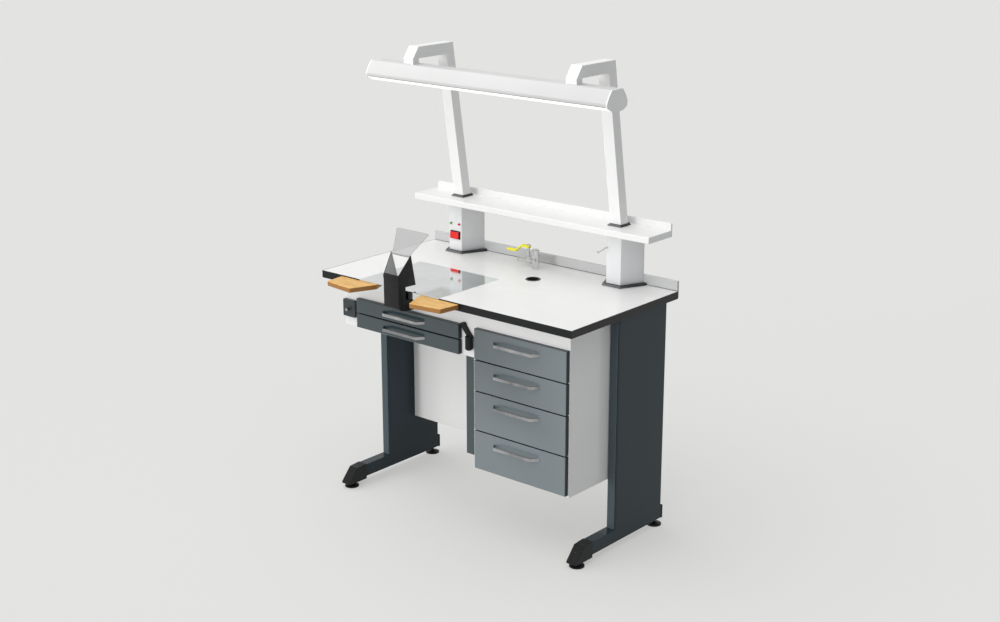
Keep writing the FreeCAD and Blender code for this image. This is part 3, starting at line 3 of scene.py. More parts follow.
import bpy
from bpy.props import FloatProperty, FloatVectorProperty, PointerProperty
from mathutils import Euler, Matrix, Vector


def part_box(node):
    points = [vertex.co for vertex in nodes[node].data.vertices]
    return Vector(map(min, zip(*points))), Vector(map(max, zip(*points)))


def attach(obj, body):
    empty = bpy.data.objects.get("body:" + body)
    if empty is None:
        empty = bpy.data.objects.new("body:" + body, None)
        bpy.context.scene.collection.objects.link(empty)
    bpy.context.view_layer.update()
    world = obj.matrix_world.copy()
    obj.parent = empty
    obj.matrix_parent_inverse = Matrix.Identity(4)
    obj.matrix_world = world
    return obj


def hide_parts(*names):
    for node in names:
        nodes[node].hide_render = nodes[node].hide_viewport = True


bl_info = {
    "name": "Jewellers Bench Finish",
    "version": (1, 0, 0),
    "blender": (4, 5, 0),
    "location": "View3D > Sidebar > Bench",
    "description": "Finishes, fittings and small pieces of a jewellers bench with a lamp",
    "category": "Object",
}

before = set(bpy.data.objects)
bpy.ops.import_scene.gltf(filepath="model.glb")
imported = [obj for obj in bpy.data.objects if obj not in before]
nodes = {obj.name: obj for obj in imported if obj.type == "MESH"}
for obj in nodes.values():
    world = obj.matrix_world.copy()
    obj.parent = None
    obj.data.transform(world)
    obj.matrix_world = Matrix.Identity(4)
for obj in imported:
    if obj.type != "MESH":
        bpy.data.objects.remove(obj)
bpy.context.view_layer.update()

MM = 0.001
SIDES = ("left", "right")
BOTH_WAYS = (-1, 1)
FLAT = 0.9  # least share of a face's normal along an axis for the face to look that way
MERGE = 0.005 * MM  # corner points closer than this are one point


# ---------------------------------------------------------------- settings

def length(name, text, default):
    return FloatProperty(name=name, description=text, default=default, unit="LENGTH", precision=5)


def level(name, text, default):
    return FloatProperty(name=name, description=text, default=default)


def turn(name, text, degrees):
    return FloatProperty(name=name, description=text, default=math.radians(degrees),
                         subtype="ANGLE")


def colour(name, text, default):
    return FloatVectorProperty(name=name, description=text, default=default, subtype="COLOR",
                               size=3, min=0, max=1)


class BenchSizes(bpy.types.PropertyGroup):
    """Sizes of the roundings, fittings and reshaped pieces"""
    edge_round: length("Edge rounding", "Edges of boards and tubes", 0.7 * MM)
    fine_round: length("Fine rounding", "Edges of small pieces", 0.35 * MM)
    handle_round: length("Handle rounding", "Edges of the bar handles", 1.8 * MM)
    cap_round: length("Rocker rounding", "Edges of the switch's rocker", 0.8 * MM)
    nut_round: length("Nut rounding", "Edges of the lock nuts", 0.7 * MM)
    ring_round: length("Ring rounding", "Edges of the tap's rings and the lenses", 0.5 * MM)
    grip_round: length("Grip rounding", "Edges of the tap's lever", 2.2 * MM)
    seam_round: length("Seam rounding", "Edges of the lamp's seam", 0.08 * MM)

    seal_width: length("Seal width", "Dark seal at the foot of the upstand", 1.4 * MM)
    nut_radius: length("Nut radius", "Lock nut of a levelling foot, to its corners", 9 * MM)
    nut_height: length("Nut height", "Lock nut of a levelling foot", 5 * MM)
    nut_drop: length("Nut drop", "From the end of the screw to the lock nut", 1.5 * MM)

    wing_inward: length("Wing inward", "How far the hood's wings draw in", 9.7 * MM)
    wing_back: length("Wing back", "How far the hood's wings draw back", 11.5 * MM)
    wing_drop: length("Wing drop", "How far the wings' lower corners drop", 4.8 * MM)
    chin_drop: length("Chin drop", "How far the hood's lower front edge drops", 14 * MM)
    bend_drop: length("Bend drop", "How far the bend behind that edge drops", 11 * MM)
    bend_back: length("Bend back", "How far that bend draws back", 2 * MM)

    lamp_skirt: length("Lamp skirt", "How far the housing's front reaches down", 11 * MM)
    lamp_lean: length("Lamp lean", "How far the skirt leans back", 1.7 * MM)
    window_overlap: length("Window overlap", "How far the window goes up behind it", 0.7 * MM)
    # The seam is a black strip that stands in for the shade in the gap between skirt and window:
    # painted shade.
    seam_height: length("Seam height", "Dark seam between skirt and window", 0.9 * MM)
    seam_depth: length("Seam depth", "Depth of that seam", 1.2 * MM)
    seam_setback: length("Seam setback", "From the window's front to the seam's middle", 1.6 * MM)
    seam_drop: length("Seam drop", "From the skirt's edge to that middle", 0.35 * MM)

    case_middle: length("Pillar bend", "How far a pillar draws in before its back", 15 * MM)
    case_back: length("Pillar back", "How far a pillar draws in at its back", 10 * MM)
    plate_front: length("Plate front", "How far a plate draws in at its front", 8 * MM)
    plate_middle: length("Plate bevel", "The same behind its front edge", 4 * MM)
    plate_back: length("Plate back", "The same at its back", 10 * MM)

    rocker_width: length("Rocker width", "Rocker of the light switch", 43 * MM)
    rocker_height: length("Rocker height", "Rocker of the light switch", 27 * MM)
    rocker_front: length("Rocker front", "From the switch frame to the rocker's front", 8 * MM)
    rocker_back: length("Rocker back", "From the switch frame to the rocker's back", 2.4 * MM)
    rocker_step: length("Rocker step", "From the rocker's sides to its core", 4.2 * MM)
    rocker_reach: length("Rocker reach", "How far its core reaches back", 6 * MM)
    rocker_rim: length("Rocker rim", "Rim around the rocker's dish", 2.6 * MM)
    rocker_dish: length("Rocker dish", "Depth of the dish", 1.3 * MM)
    rocker_lean: length("Rocker lean", "How far its upper half leans back", 1.6 * MM)

    lens_radius: length("Lens radius", "Lens of an indicator lamp", 4.2 * MM)
    lens_depth: length("Lens depth", "Lens of an indicator lamp", 3 * MM)
    lens_inset: length("Lens inset", "From the collar's side to the lens's middle", 4 * MM)
    lens_proud: length("Lens proud", "From the collar's face to the lens's middle", 1.2 * MM)

    grip_rise: length("Grip rise", "How much thicker the tap's lever is above", 5.5 * MM)
    grip_spread: length("Grip spread", "How much wider it is on each side", 1.5 * MM)
    ring_inset: length("Ring inset", "Slope around the ends of the tap's rings", 1.2 * MM)
    ring_rise: length("Ring rise", "Rise of that slope", 0.6 * MM)


class BenchColours(bpy.types.PropertyGroup):
    """Colours of the finishes"""
    laminate: colour("Laminate", "White boards", (0.82, 0.82, 0.815))
    coat: colour("White coat", "White posts and the lamp's end caps", (0.86, 0.86, 0.86))
    lamp: colour("Lamp coat", "White coat of the lamp's housing", (0.64, 0.64, 0.64))
    opal: colour("Opal", "Lit window of the lamp", (0.86, 0.86, 0.855))
    pillar: colour("Pillar coat", "White sheet metal of the pillars", (0.76, 0.765, 0.775))
    # The upstand's laminate is painted darker than the worktop's, as painted shade under the shelf.
    upstand: colour("Upstand", "Greyish strip behind the worktop", (0.53, 0.535, 0.535))
    leg: colour("Leg coat", "Blue-grey powder coat of the legs", (0.020, 0.034, 0.044))
    # The leg fronts' lighter tone is painted light on the same blue-grey coat.
    leg_front_painted_light: colour("Leg fronts", "The same coat on their front and back faces",
                      (0.069, 0.090, 0.102))
    # The drawer lacquers hold painted light and shade: the left fronts' darker tone is painted
    # shade under the worktop, the right fronts' lighter tone is painted light, and their left-end
    # tone is painted shade.
    front: colour("Drawer lacquer", "Grey lacquer of the left drawer fronts",
                  (0.036, 0.054, 0.061))
    front_right: colour("Lacquer, painted light", "Grey lacquer of the right drawer fronts",
                        (0.170, 0.201, 0.217))
    front_painted_shade: colour("Lacquer, painted shade", "The same towards the left end",
                        (0.094, 0.114, 0.124))
    front_edge: colour("Front edges", "Dark edges of the drawer fronts", (0.013, 0.017, 0.020))
    control: colour("Control plate", "Plate behind the pull knob", (0.028, 0.036, 0.040))
    # The plates' front facets are painted lighter than their other facets, as painted light on one
    # dark coat.
    plate: colour("Plate front", "Front facets of the pillars' plates", (0.11, 0.115, 0.118))
    plate_side: colour("Plate side", "Other facets of the plates", (0.030, 0.032, 0.034))
    black: colour("Black plastic", "Edge band, caps and feet", (0.009, 0.010, 0.0105))
    grommet: colour("Grommet", "Cable grommet", (0.022, 0.023, 0.024))
    hood: colour("Hood black", "Outside of the suction hood", (0.011, 0.0115, 0.012))
    hood_inside: colour("Hood grey", "Inside of the suction hood", (0.50, 0.50, 0.50))
    clear: colour("Clear plastic", "Tint of the clear shield", (0.33, 0.34, 0.34))
    steel: colour("Steel", "Polished sheet of the insert", (0.80, 0.825, 0.825))
    rail: colour("Rail steel", "Rails, lock nuts and the shield's rod", (0.55, 0.55, 0.56))
    chrome: colour("Knob chrome", "Pull knob", (0.46, 0.46, 0.47))
    handle: colour("Handle chrome", "Bar handles of the drawers", (0.37, 0.37, 0.38))
    tap: colour("Tap chrome", "Body and rings of the gas tap", (0.68, 0.68, 0.69))
    wire: colour("Hook wire", "Hook on the pillar", (0.62, 0.62, 0.62))
    wood_light: colour("Light wood", "Light grain of the armrests", (0.92, 0.575, 0.175))
    wood_dark: colour("Dark wood", "Dark grain of the armrests", (0.62, 0.30, 0.06))
    wood_edge: colour("Wood edge", "Sawn edges of the armrests", (0.36, 0.16, 0.038))
    ply: colour("Plywood", "Mean tone of the drawer boxes", (0.62, 0.50, 0.34))
    ply_light: colour("Light plywood", "Light grain of the drawer boxes", (0.66, 0.54, 0.38))
    ply_dark: colour("Dark plywood", "Dark grain of the drawer boxes", (0.52, 0.39, 0.24))
    ply_layer: colour("Plywood layers", "Dark layers of the boxes' edges", (0.36, 0.25, 0.14))
    yellow: colour("Yellow", "Lever of the gas tap", (0.86, 0.80, 0.02))
    red: colour("Red", "Rocker of the switch", (0.66, 0.010, 0.008))
    green: colour("Green", "Left indicator lens", (0.07, 0.38, 0.02))
    crimson: colour("Crimson", "Right indicator lens", (0.58, 0.006, 0.045))


class BenchStage(bpy.types.PropertyGroup):
    """Floor, light and camera"""
    floor_size: length("Floor", "Side of the floor", 90.0)
    floor_drop: length("Floor drop", "How far the floor lies under the feet", 0.5 * MM)
    floor_colour: colour("Floor colour", "Pale floor", (0.345, 0.345, 0.339))
    floor_tone: colour("Floor tone", "Colour of the floor's own light", (1.0, 1.0, 0.985))
    floor_glow: level("Floor glow", "Light from the floor itself", 0.385)
    floor_bounce: level("Floor bounce", "Glow that reaches the bench", 0.1)
    backdrop: level("Backdrop", "Brightness of the plain backdrop", 0.775)
    backdrop_tone: colour("Backdrop tone", "Colour of the surroundings", (1.0, 1.0, 0.99))
    sky_top: level("Sky from above", "How much of their light comes from above", 1.6)
    sky_side: level("Sky from the side", "How much comes from the left front", 1.0)
    front_light: level("Front light", "Strength of the low front light", 1.05)
    front_tone: colour("Front tone", "Colour of the front light", (1.0, 1.0, 1.0))
    front_tilt: turn("Front tilt", "Front light's tilt from straight down", 88)
    front_turn: turn("Front turn", "Its turn about the upright axis", -12)
    front_spread: turn("Front spread", "Its angular size", 12)
    side_light: level("Side light", "Strength of the cool light on the right end", 0.12)
    side_tone: colour("Side tone", "Colour of the side light", (0.55, 0.80, 1.0))
    side_tilt: turn("Side tilt", "Side light's tilt from straight down", 70)
    side_turn: turn("Side turn", "Its turn about the upright axis", 70)
    side_spread: turn("Side spread", "Its angular size", 40)
    camera_place: FloatVectorProperty(name="Camera", description="Place of the camera",
                                      default=(3.73772, -4.34895, 2.52197), subtype="XYZ")
    camera_tilt: turn("Tilt", "Camera's tilt from looking straight down", 73.26)
    camera_turn: turn("Turn", "Camera's turn about the upright axis", 40.24)
    camera_lens: level("Lens", "Focal length in millimetres", 58.02)
    camera_sensor: level("Sensor", "Width of the camera's sensor in millimetres", 36.0)
    camera_reach: length("Reach", "Farthest distance that the camera shows", 200.0)


# ---------------------------------------------------------------- finishes

def join(tree, value, socket):
    """Give a node's input a value, or the output of another node."""
    if isinstance(value, bpy.types.NodeSocket):
        tree.links.new(value, socket)
    else:
        socket.default_value = value


class Finish:
    """A node material: one shader, fed step by step."""

    def __init__(self, name, base, roughness, metallic=0.0):
        self.material = bpy.data.materials.new(name)
        self.material.use_nodes = True
        self.tree = self.material.node_tree
        self.shader = self.tree.nodes["Principled BSDF"]
        self.place = self.add("ShaderNodeTexCoord").outputs["Object"]
        self.set("Base Color", (*base, 1.0))
        self.set("Roughness", roughness)
        self.set("Metallic", metallic)

    def add(self, kind):
        return self.tree.nodes.new(kind)

    def set(self, socket, value):
        self.shader.inputs[socket].default_value = value

    def feed(self, socket, output):
        self.tree.links.new(output, self.shader.inputs[socket])

    def stretch(self, scale, turned=0.0):
        """Object coordinates, stretched and then turned about the upright axis."""
        node = self.add("ShaderNodeMapping")
        node.inputs["Rotation"].default_value = (0.0, 0.0, turned)
        node.inputs["Scale"].default_value = scale
        self.tree.links.new(self.place, node.inputs["Vector"])
        return node.outputs["Vector"]

    def noise(self, scale, detail=2.0, where=None):
        """An uneven pattern; a larger scale is a finer pattern."""
        node = self.add("ShaderNodeTexNoise")
        node.inputs["Scale"].default_value = scale
        node.inputs["Detail"].default_value = detail
        self.tree.links.new(where or self.place, node.inputs["Vector"])
        return node.outputs["Fac"]

    def bands(self, scale, distortion, detail, where):
        """A pattern of stripes."""
        node = self.add("ShaderNodeTexWave")
        node.inputs["Scale"].default_value = scale
        node.inputs["Distortion"].default_value = distortion
        node.inputs["Detail"].default_value = detail
        self.tree.links.new(where, node.inputs["Vector"])
        return node.outputs["Fac"]

    def between(self, factor, low, high, least=0.3, most=0.7):
        """A number that goes from low to high while a factor goes from least to most."""
        node = self.add("ShaderNodeMapRange")
        node.inputs["From Min"].default_value = least
        node.inputs["From Max"].default_value = most
        node.inputs["To Min"].default_value = low
        node.inputs["To Max"].default_value = high
        self.tree.links.new(factor, node.inputs["Value"])
        return node.outputs["Result"]

    def blend(self, factor, first, second):
        """A mix of two colours; each is a colour or an output."""
        node = self.add("ShaderNodeMix")
        node.data_type = "RGBA"
        self.tree.links.new(factor, node.inputs["Factor"])
        for socket, value in zip(("A", "B"), (first, second)):
            entry = next(s for s in node.inputs if s.name == socket and s.type == "RGBA")
            given = value if isinstance(value, bpy.types.NodeSocket) else (*value, 1.0)
            join(self.tree, given, entry)
        return next(s for s in node.outputs if s.type == "RGBA")

    def reckon(self, operation, first, second=0.0):
        """A calculation with one or two numbers; each is a value or an output."""
        node = self.add("ShaderNodeMath")
        node.operation = operation
        join(self.tree, first, node.inputs[0])
        join(self.tree, second, node.inputs[1])
        return node.outputs["Value"]

    def share(self, vector, axis):
        """The part of a vector along an axis."""
        split = self.add("ShaderNodeSeparateXYZ")
        self.tree.links.new(vector, split.inputs["Vector"])
        return split.outputs[axis]

    def normal(self, axis):
        """The part of the surface's normal along an axis."""
        return self.share(self.add("ShaderNodeNewGeometry").outputs["Normal"], axis)

    def facing(self, axis):
        """1 where the surface faces along an axis, either way, and 0 where it faces across."""
        return self.between(self.reckon("ABSOLUTE", self.normal(axis)), 0.0, 1.0)

    def relief(self, height, strength, distance=0.1 * MM):
        node = self.add("ShaderNodeBump")
        node.inputs["Strength"].default_value = strength
        node.inputs["Distance"].default_value = distance
        self.tree.links.new(height, node.inputs["Height"])
        self.feed("Normal", node.outputs["Normal"])

    def cloudy(self, base, spread, scale):
        """A faint unevenness of the colour."""
        low = [max(0.0, c * (1 - spread)) for c in base]
        high = [min(1.0, c * (1 + spread)) for c in base]
        clouds = self.between(self.noise(scale, detail=3.0), 0, 1)
        self.feed("Base Color", self.blend(clouds, low, high))

    def worn(self, scale, low, high):
        """A gloss that varies slowly over the surface."""
        self.feed("Roughness", self.between(self.noise(scale), low, high))


def laminate(name, base):
    """Smooth laminate with a faint orange-peel surface."""
    finish = Finish(name, base, roughness=0.2)
    finish.cloudy(base, spread=0.008, scale=3.0)
    finish.worn(scale=14.0, low=0.17, high=0.26)
    finish.relief(finish.noise(700.0), strength=0.05)
    return finish.material


def powder_coat(name, base, roughness=0.38, gloss=0.25, front=None):
    """Sprayed coat with a slow orange peel; front and back faces may get a lighter tone as painted
    light.
    """
    finish = Finish(name, base, roughness)
    finish.set("Specular IOR Level", gloss)
    if front:
        # Painted light: faces that look forwards or backwards take the lighter front tone.
        finish.feed("Base Color", finish.blend(finish.facing("Y"), base, front))
    else:
        finish.cloudy(base, spread=0.02, scale=5.0)
    finish.worn(scale=8.0, low=roughness * 0.9, high=roughness * 1.15)
    finish.relief(finish.noise(90.0, detail=1.0), strength=0.05)
    return finish.material


def lacquer(name, base, shade, edge, span):
    """Grey lacquer under a clear gloss coat, with painted shade towards the upper left and painted
    light towards the lower right; matt edges.
    """
    bottom, top = 0.42, 0.76  # heights between which the tone deepens
    finish = Finish(name, base, roughness=0.3)
    # Painted light and shade: the colour goes from the shade tone at the upper left to the base
    # tone towards the right and the bottom.
    rightward = finish.between(finish.share(finish.place, "X"), 0.0, 1.0, *span)
    downward = finish.between(finish.share(finish.place, "Z"), 1.0, 0.0, bottom, top)
    across = finish.reckon("MAXIMUM", rightward, downward)
    patches = finish.between(finish.noise(4.0, detail=3.0), 0.0, 0.12)
    face = finish.blend(patches, finish.blend(across, shade, base), shade)
    flat = finish.facing("Y")
    finish.feed("Base Color", finish.blend(flat, edge, face))
    finish.feed("Coat Weight", flat)
    finish.worn(scale=25.0, low=0.16, high=0.24)
    finish.set("Specular IOR Level", 0.2)
    finish.set("Coat Roughness", 0.03)
    finish.relief(finish.noise(350.0), strength=0.04)
    return finish.material


def moulded(name, base, roughness=0.5):
    """Moulded plastic with a faint, soft grain."""
    finish = Finish(name, base, roughness)
    finish.set("Specular IOR Level", 0.25)
    finish.cloudy(base, spread=0.06, scale=8.0)
    finish.worn(scale=12.0, low=roughness - 0.05, high=roughness + 0.05)
    finish.relief(finish.noise(180.0, detail=1.0), strength=0.06)
    return finish.material


def gloss_plastic(name, base, roughness):
    """Smooth plastic with a soft gloss."""
    finish = Finish(name, base, roughness)
    finish.cloudy(base, spread=0.03, scale=12.0)
    finish.worn(scale=14.0, low=roughness - 0.04, high=roughness + 0.05)
    finish.relief(finish.noise(120.0, detail=1.0), strength=0.04)
    return finish.material


def bare_metal(name, base, low, high, along=(1.0, 1.0, 1.0), marks=0.03, uneven=0.04):
    """Metal whose gloss and fine marks run along one direction."""
    finish = Finish(name, base, low, metallic=1.0)
    lines = finish.noise(900.0, detail=4.0, where=finish.stretch(along))
    finish.cloudy(base, spread=uneven, scale=12.0)
    finish.feed("Roughness", finish.between(lines, low, high))
    finish.relief(lines, strength=marks, distance=0.05 * MM)
    return finish.material


def oiled_wood(name, light, dark, edge):
    """Hardwood with long grain; the sawn edges are darker."""
    slant = math.radians(-8)
    deep = [c * 0.8 for c in dark]
    finish = Finish(name, light, roughness=0.42)
    long_grain = finish.stretch((1.0, 9.0, 9.0), slant)
    wide = finish.noise(9.0, where=long_grain)
    fine = finish.noise(150.0, detail=6.0, where=finish.stretch((0.35, 6.0, 6.0), slant))
    streaks = finish.between(finish.noise(26.0, detail=4.0, where=long_grain), 0, 1)
    face = finish.blend(finish.between(wide, 0, 0.6), light, dark)
    face = finish.blend(finish.between(streaks, 0, 0.5), face, deep)
    sawn = finish.between(finish.normal("Z"), 1.0, 0.0)
    finish.feed("Base Color", finish.blend(sawn, face, edge))
    finish.feed("Roughness", finish.between(fine, 0.34, 0.52))
    finish.relief(fine, strength=0.25, distance=0.15 * MM)
    return finish.material


def plywood(name, base, light, dark, layer):
    """Pale veneered board with darker layers on its edges."""
    finish = Finish(name, base, roughness=0.5)
    grain = finish.noise(60.0, detail=5.0, where=finish.stretch((6.0, 0.5, 6.0)))
    layers = finish.bands(220.0, distortion=0.4, detail=3.0,
                          where=finish.stretch((0.02, 0.02, 1.0)))
    face = finish.blend(finish.between(grain, 0, 1), light, dark)
    finish.feed("Base Color", finish.blend(finish.between(layers, 0, 0.25), face, layer))
    finish.relief(grain, strength=0.12)
    return finish.material


def two_sided_hood(name, outside, inside, middle):
    """Satin black shell that is grey on the faces that look at its middle plane."""
    finish = Finish(name, outside, roughness=0.42)
    finish.set("Specular IOR Level", 0.25)
    offset = finish.reckon("SUBTRACT", middle, finish.share(finish.place, "X"))
    towards = finish.reckon("MULTIPLY", offset, finish.normal("X"))
    inward = finish.reckon("GREATER_THAN", towards, 10 * MM)
    finish.feed("Base Color", finish.blend(inward, outside, inside))
    finish.worn(scale=60.0, low=0.36, high=0.5)
    finish.relief(finish.noise(1500.0, detail=3.0), strength=0.15)
    return finish.material


def clear_plastic(name, base):
    """Clear shield: mostly see-through, slightly grey, with a gloss."""
    finish = Finish(name, base, roughness=0.04)
    finish.worn(scale=18.0, low=0.03, high=0.07)
    finish.set("Alpha", 0.34)
    return finish.material


def glowing(name, base, strength, roughness):
    """Translucent plastic that is lit from inside."""
    finish = Finish(name, base, roughness)
    finish.cloudy(base, spread=0.02, scale=5.0)
    finish.set("Emission Color", (*base, 1.0))
    finish.set("Emission Strength", strength)
    finish.relief(finish.noise(900.0), strength=0.04, distance=0.05 * MM)
    return finish.material


def made(name):
    """A finish that an earlier operator has made."""
    return bpy.data.materials[name]


# ---------------------------------------------------------------- working on pieces

def settings(context):
    return context.scene.bench_sizes, context.scene.bench_colours


def dress(names, material, rounding=0.0):
    """Give CAD nodes their finish, and soften their edges with live modifiers."""
    for name in names:
        node = nodes[name]
        node.data.materials.clear()
        node.data.materials.append(material)
        if rounding:
            soften(node, rounding)


def soften(node, width):
    """Live modifiers that merge, flatten and round a CAD node's mesh."""
    weld = node.modifiers.new("Weld", "WELD")
    weld.merge_threshold = MERGE
    flat = node.modifiers.new("Flat faces", "DECIMATE")
    flat.decimate_type = "DISSOLVE"
    flat.angle_limit = math.radians(0.3)
    bevel = node.modifiers.new("Rounding", "BEVEL")
    bevel.width = width
    bevel.segments = 2
    bevel.limit_method = "ANGLE"
    bevel.angle_limit = math.radians(25)
    bevel.use_clamp_overlap = True
    bevel.harden_normals = False
    normals = node.modifiers.new("Normals", "WEIGHTED_NORMAL")
    normals.keep_sharp = True


def select_only(piece):
    bpy.ops.object.select_all(action="DESELECT")
    piece.select_set(True)
    bpy.context.view_layer.objects.active = piece


def start(primitive, **options):
    """A new primitive, alone in the selection."""
    bpy.ops.object.select_all(action="DESELECT")
    primitive(**options)
    return bpy.context.object


def block(middle, extent):
    """A box of a given extent around a middle."""
    piece = start(bpy.ops.mesh.primitive_cube_add, size=1, location=middle, scale=extent)
    bpy.ops.object.transform_apply(location=True, rotation=True, scale=True)
    return piece


def edit_elements(piece, kind, elements, choice):
    """Select the faces or points that a choice holds for; the piece is left in edit mode."""
    bpy.ops.object.mode_set(mode="EDIT")
    bpy.ops.mesh.select_mode(type=kind)
    bpy.ops.mesh.select_all(action="DESELECT")
    bpy.ops.object.mode_set(mode="OBJECT")
    for element in elements():
        element.select = choice(element)
    bpy.ops.object.mode_set(mode="EDIT")


def pick(piece, choice):
    """Select the faces of a piece that a choice holds for; the piece is left in edit mode."""
    edit_elements(piece, "FACE", lambda: piece.data.polygons, choice)


def edit_done():
    bpy.ops.object.mode_set(mode="OBJECT")


def pull(piece, choice, shift):
    """Move the corner points of a piece that a choice of x, y and z holds for."""
    edit_elements(piece, "VERT", lambda: piece.data.vertices, lambda point: choice(*point.co))
    bpy.ops.transform.translate(value=shift)
    edit_done()


def looks(x=0, y=0, z=0):
    """Choice of the faces that look in one direction."""
    way = Vector((x, y, z))
    return lambda face: face.normal.dot(way) > FLAT


def near(value, target, reach=MM):
    return abs(value - target) < reach


def recast(node):
    """A merged copy of a CAD node's mesh, alone in the selection, to be reshaped."""
    piece = bpy.data.objects.new(node, nodes[node].data.copy())
    bpy.context.scene.collection.objects.link(piece)
    select_only(piece)
    bpy.ops.object.mode_set(mode="EDIT")
    bpy.ops.mesh.select_all(action="SELECT")
    bpy.ops.mesh.remove_doubles(threshold=MERGE)
    bpy.ops.mesh.dissolve_limited(angle_limit=math.radians(0.3))
    edit_done()
    return piece


def bevelled(piece, width, segments=2):
    """Round a piece's sharp edges and apply the modifier."""
    select_only(piece)
    bevel = piece.modifiers.new("Rounding", "BEVEL")
    bevel.width = width
    bevel.segments = segments
    bevel.limit_method = "ANGLE"
    bevel.angle_limit = math.radians(30)
    bpy.ops.object.modifier_apply(modifier=bevel.name)


def settle(piece, name, body, material, angle=35):
    """Name a finished piece, put its place into its mesh, and let it ride on its body."""
    select_only(piece)
    bpy.ops.object.transform_apply(location=True, rotation=True, scale=True)
    bpy.ops.object.shade_smooth_by_angle(angle=math.radians(angle))
    piece.name = name
    piece.data.name = name
    piece.data.materials.clear()
    piece.data.materials.append(material)
    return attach(piece, body)


# ---------------------------------------------------------------- operators: pieces

class BENCH_OT_boards(bpy.types.Operator):
    """White boards of the worktop, shelf and case, their black edge band and the seal"""
    bl_idname = "bench.boards"
    bl_label = "Boards"

    def execute(self, context):
        sizes, tints = settings(context)
        white = laminate("White laminate", tints.laminate)
        dress(("worktop", "modesty_panel", "front_frame", "upper_case", "cabinet_case",
               "shelf"), white, sizes.edge_round)
        # The upstand gets a darker copy of the white laminate as painted shade.
        dress(("upstand",), laminate("Grey laminate", tints.upstand), sizes.edge_round)
        band = moulded("Black edging", tints.black, roughness=0.35)
        dress(("edge_band",), band, sizes.fine_round)
        self.add_seal(sizes, band)
        return {"FINISHED"}

    def add_seal(self, sizes, material):
        """Soft lip between the worktop and the strip behind it, pressed in at its front."""
        low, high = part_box("upstand")
        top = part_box("worktop")[1][2]
        width = sizes.seal_width
        press = 0.45 * width
        rounding = 0.2 * width
        piece = block(((low[0] + high[0]) / 2, low[1] - width / 2, top + width / 2),
                      (high[0] - low[0], width, width))
        pick(piece, looks(y=-1))
        bpy.ops.transform.translate(value=(0, press, 0))
        edit_done()
        bevelled(piece, rounding)
        settle(piece, "upstand_seal", "bench", material)


class BENCH_OT_insert(bpy.types.Operator):
    """Polished steel insert"""
    bl_idname = "bench.insert"
    bl_label = "Steel insert"

    def execute(self, context):
        sizes, tints = settings(context)
        steel = bare_metal("Polished steel", tints.steel, low=0.05, high=0.09,
                           along=(1.0, 0.02, 1.0), marks=0.006)
        dress(("insert_plate",), steel, sizes.fine_round)
        return {"FINISHED"}


class BENCH_OT_metal_frame(bpy.types.Operator):
    """Legs with their caps, levelling feet and lock nuts"""
    bl_idname = "bench.metal_frame"
    bl_label = "Legs and feet"

    def execute(self, context):
        sizes, tints = settings(context)
        # The legs' front and back faces are painted lighter, as painted light.
        coat = powder_coat("Grey coat", tints.leg, roughness=0.13, gloss=0.2,
                           front=tints.leg_front_painted_light)
        dress(("leg_left", "leg_right"), coat, sizes.edge_round)
        cast = powder_coat("Black coat", tints.black, roughness=0.42)
        dress(("toe_caps",), cast, sizes.fine_round)
        feet = [f"levelling_foot_{end}_{side}" for end in ("front", "rear") for side in SIDES]
        dress(["heel_caps", *feet], moulded("Black plastic", tints.black), sizes.fine_round)
        steel = bare_metal("Rail steel", tints.rail, low=0.22, high=0.36,
                           along=(1.0, 0.05, 1.0), marks=0.05)
        for foot in feet:
            self.add_nut(sizes, foot, steel)
        return {"FINISHED"}

    def add_nut(self, sizes, foot, material):
        """Lock nut on the foot's screw, above its plate."""
        low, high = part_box(foot)
        x, y = [(a + b) / 2 for a, b in zip(low, high)][:2]
        z = high[2] - sizes.nut_height / 2 - sizes.nut_drop
        piece = start(bpy.ops.mesh.primitive_cylinder_add, vertices=6, radius=sizes.nut_radius,
                      depth=sizes.nut_height, location=(x, y, z))
        bevelled(piece, sizes.nut_round)
        settle(piece, foot.replace("levelling_foot", "lock_nut"), foot.replace("levelling_", ""),
               material)


class BENCH_OT_drawers(bpy.types.Operator):
    """Lacquered drawer fronts, boxes, runners and bar handles"""
    bl_idname = "bench.drawers"
    bl_label = "Drawers"

    def execute(self, context):
        sizes, tints = settings(context)
        left = ["left_1", "left_2"]
        right = ["right_1", "right_2", "right_3", "right_4"]
        low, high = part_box("drawer_front_right_1")
        span = (low[0], high[0])
        # The left fronts and the suction housing get the darker lacquer as painted shade under the
        # worktop; the right fronts get the lighter one as painted light, with painted shade towards
        # their left end.
        paint = lacquer("Grey lacquer", tints.front, tints.front, tints.front_edge, span)
        light = lacquer("Light grey lacquer", tints.front_right, tints.front_painted_shade,
                        tints.front_edge, span)
        housing = lacquer("Housing lacquer", tints.front, tints.front, tints.front, span)
        dress([f"drawer_front_{unit}" for unit in left], paint, sizes.edge_round)
        dress([f"drawer_front_{unit}" for unit in right], light, sizes.edge_round)
        dress(("suction_housing",), housing, sizes.edge_round)
        board = plywood("Plywood", tints.ply, tints.ply_light, tints.ply_dark, tints.ply_layer)
        dress([f"drawer_box_{unit}" for unit in left + right], board, sizes.fine_round)
        # The handles' chrome is made very uneven as painted reflection: light and dark patches in
        # its colour.
        chrome = bare_metal("Handle chrome", tints.handle, low=0.08, high=0.14,
                            along=(0.05, 1.0, 1.0), marks=0.01, uneven=0.45)
        dress([f"drawer_handle_{unit}" for unit in left + right], chrome, sizes.handle_round)
        dress(("drawer_rails",), made("Rail steel"), sizes.fine_round)
        return {"FINISHED"}


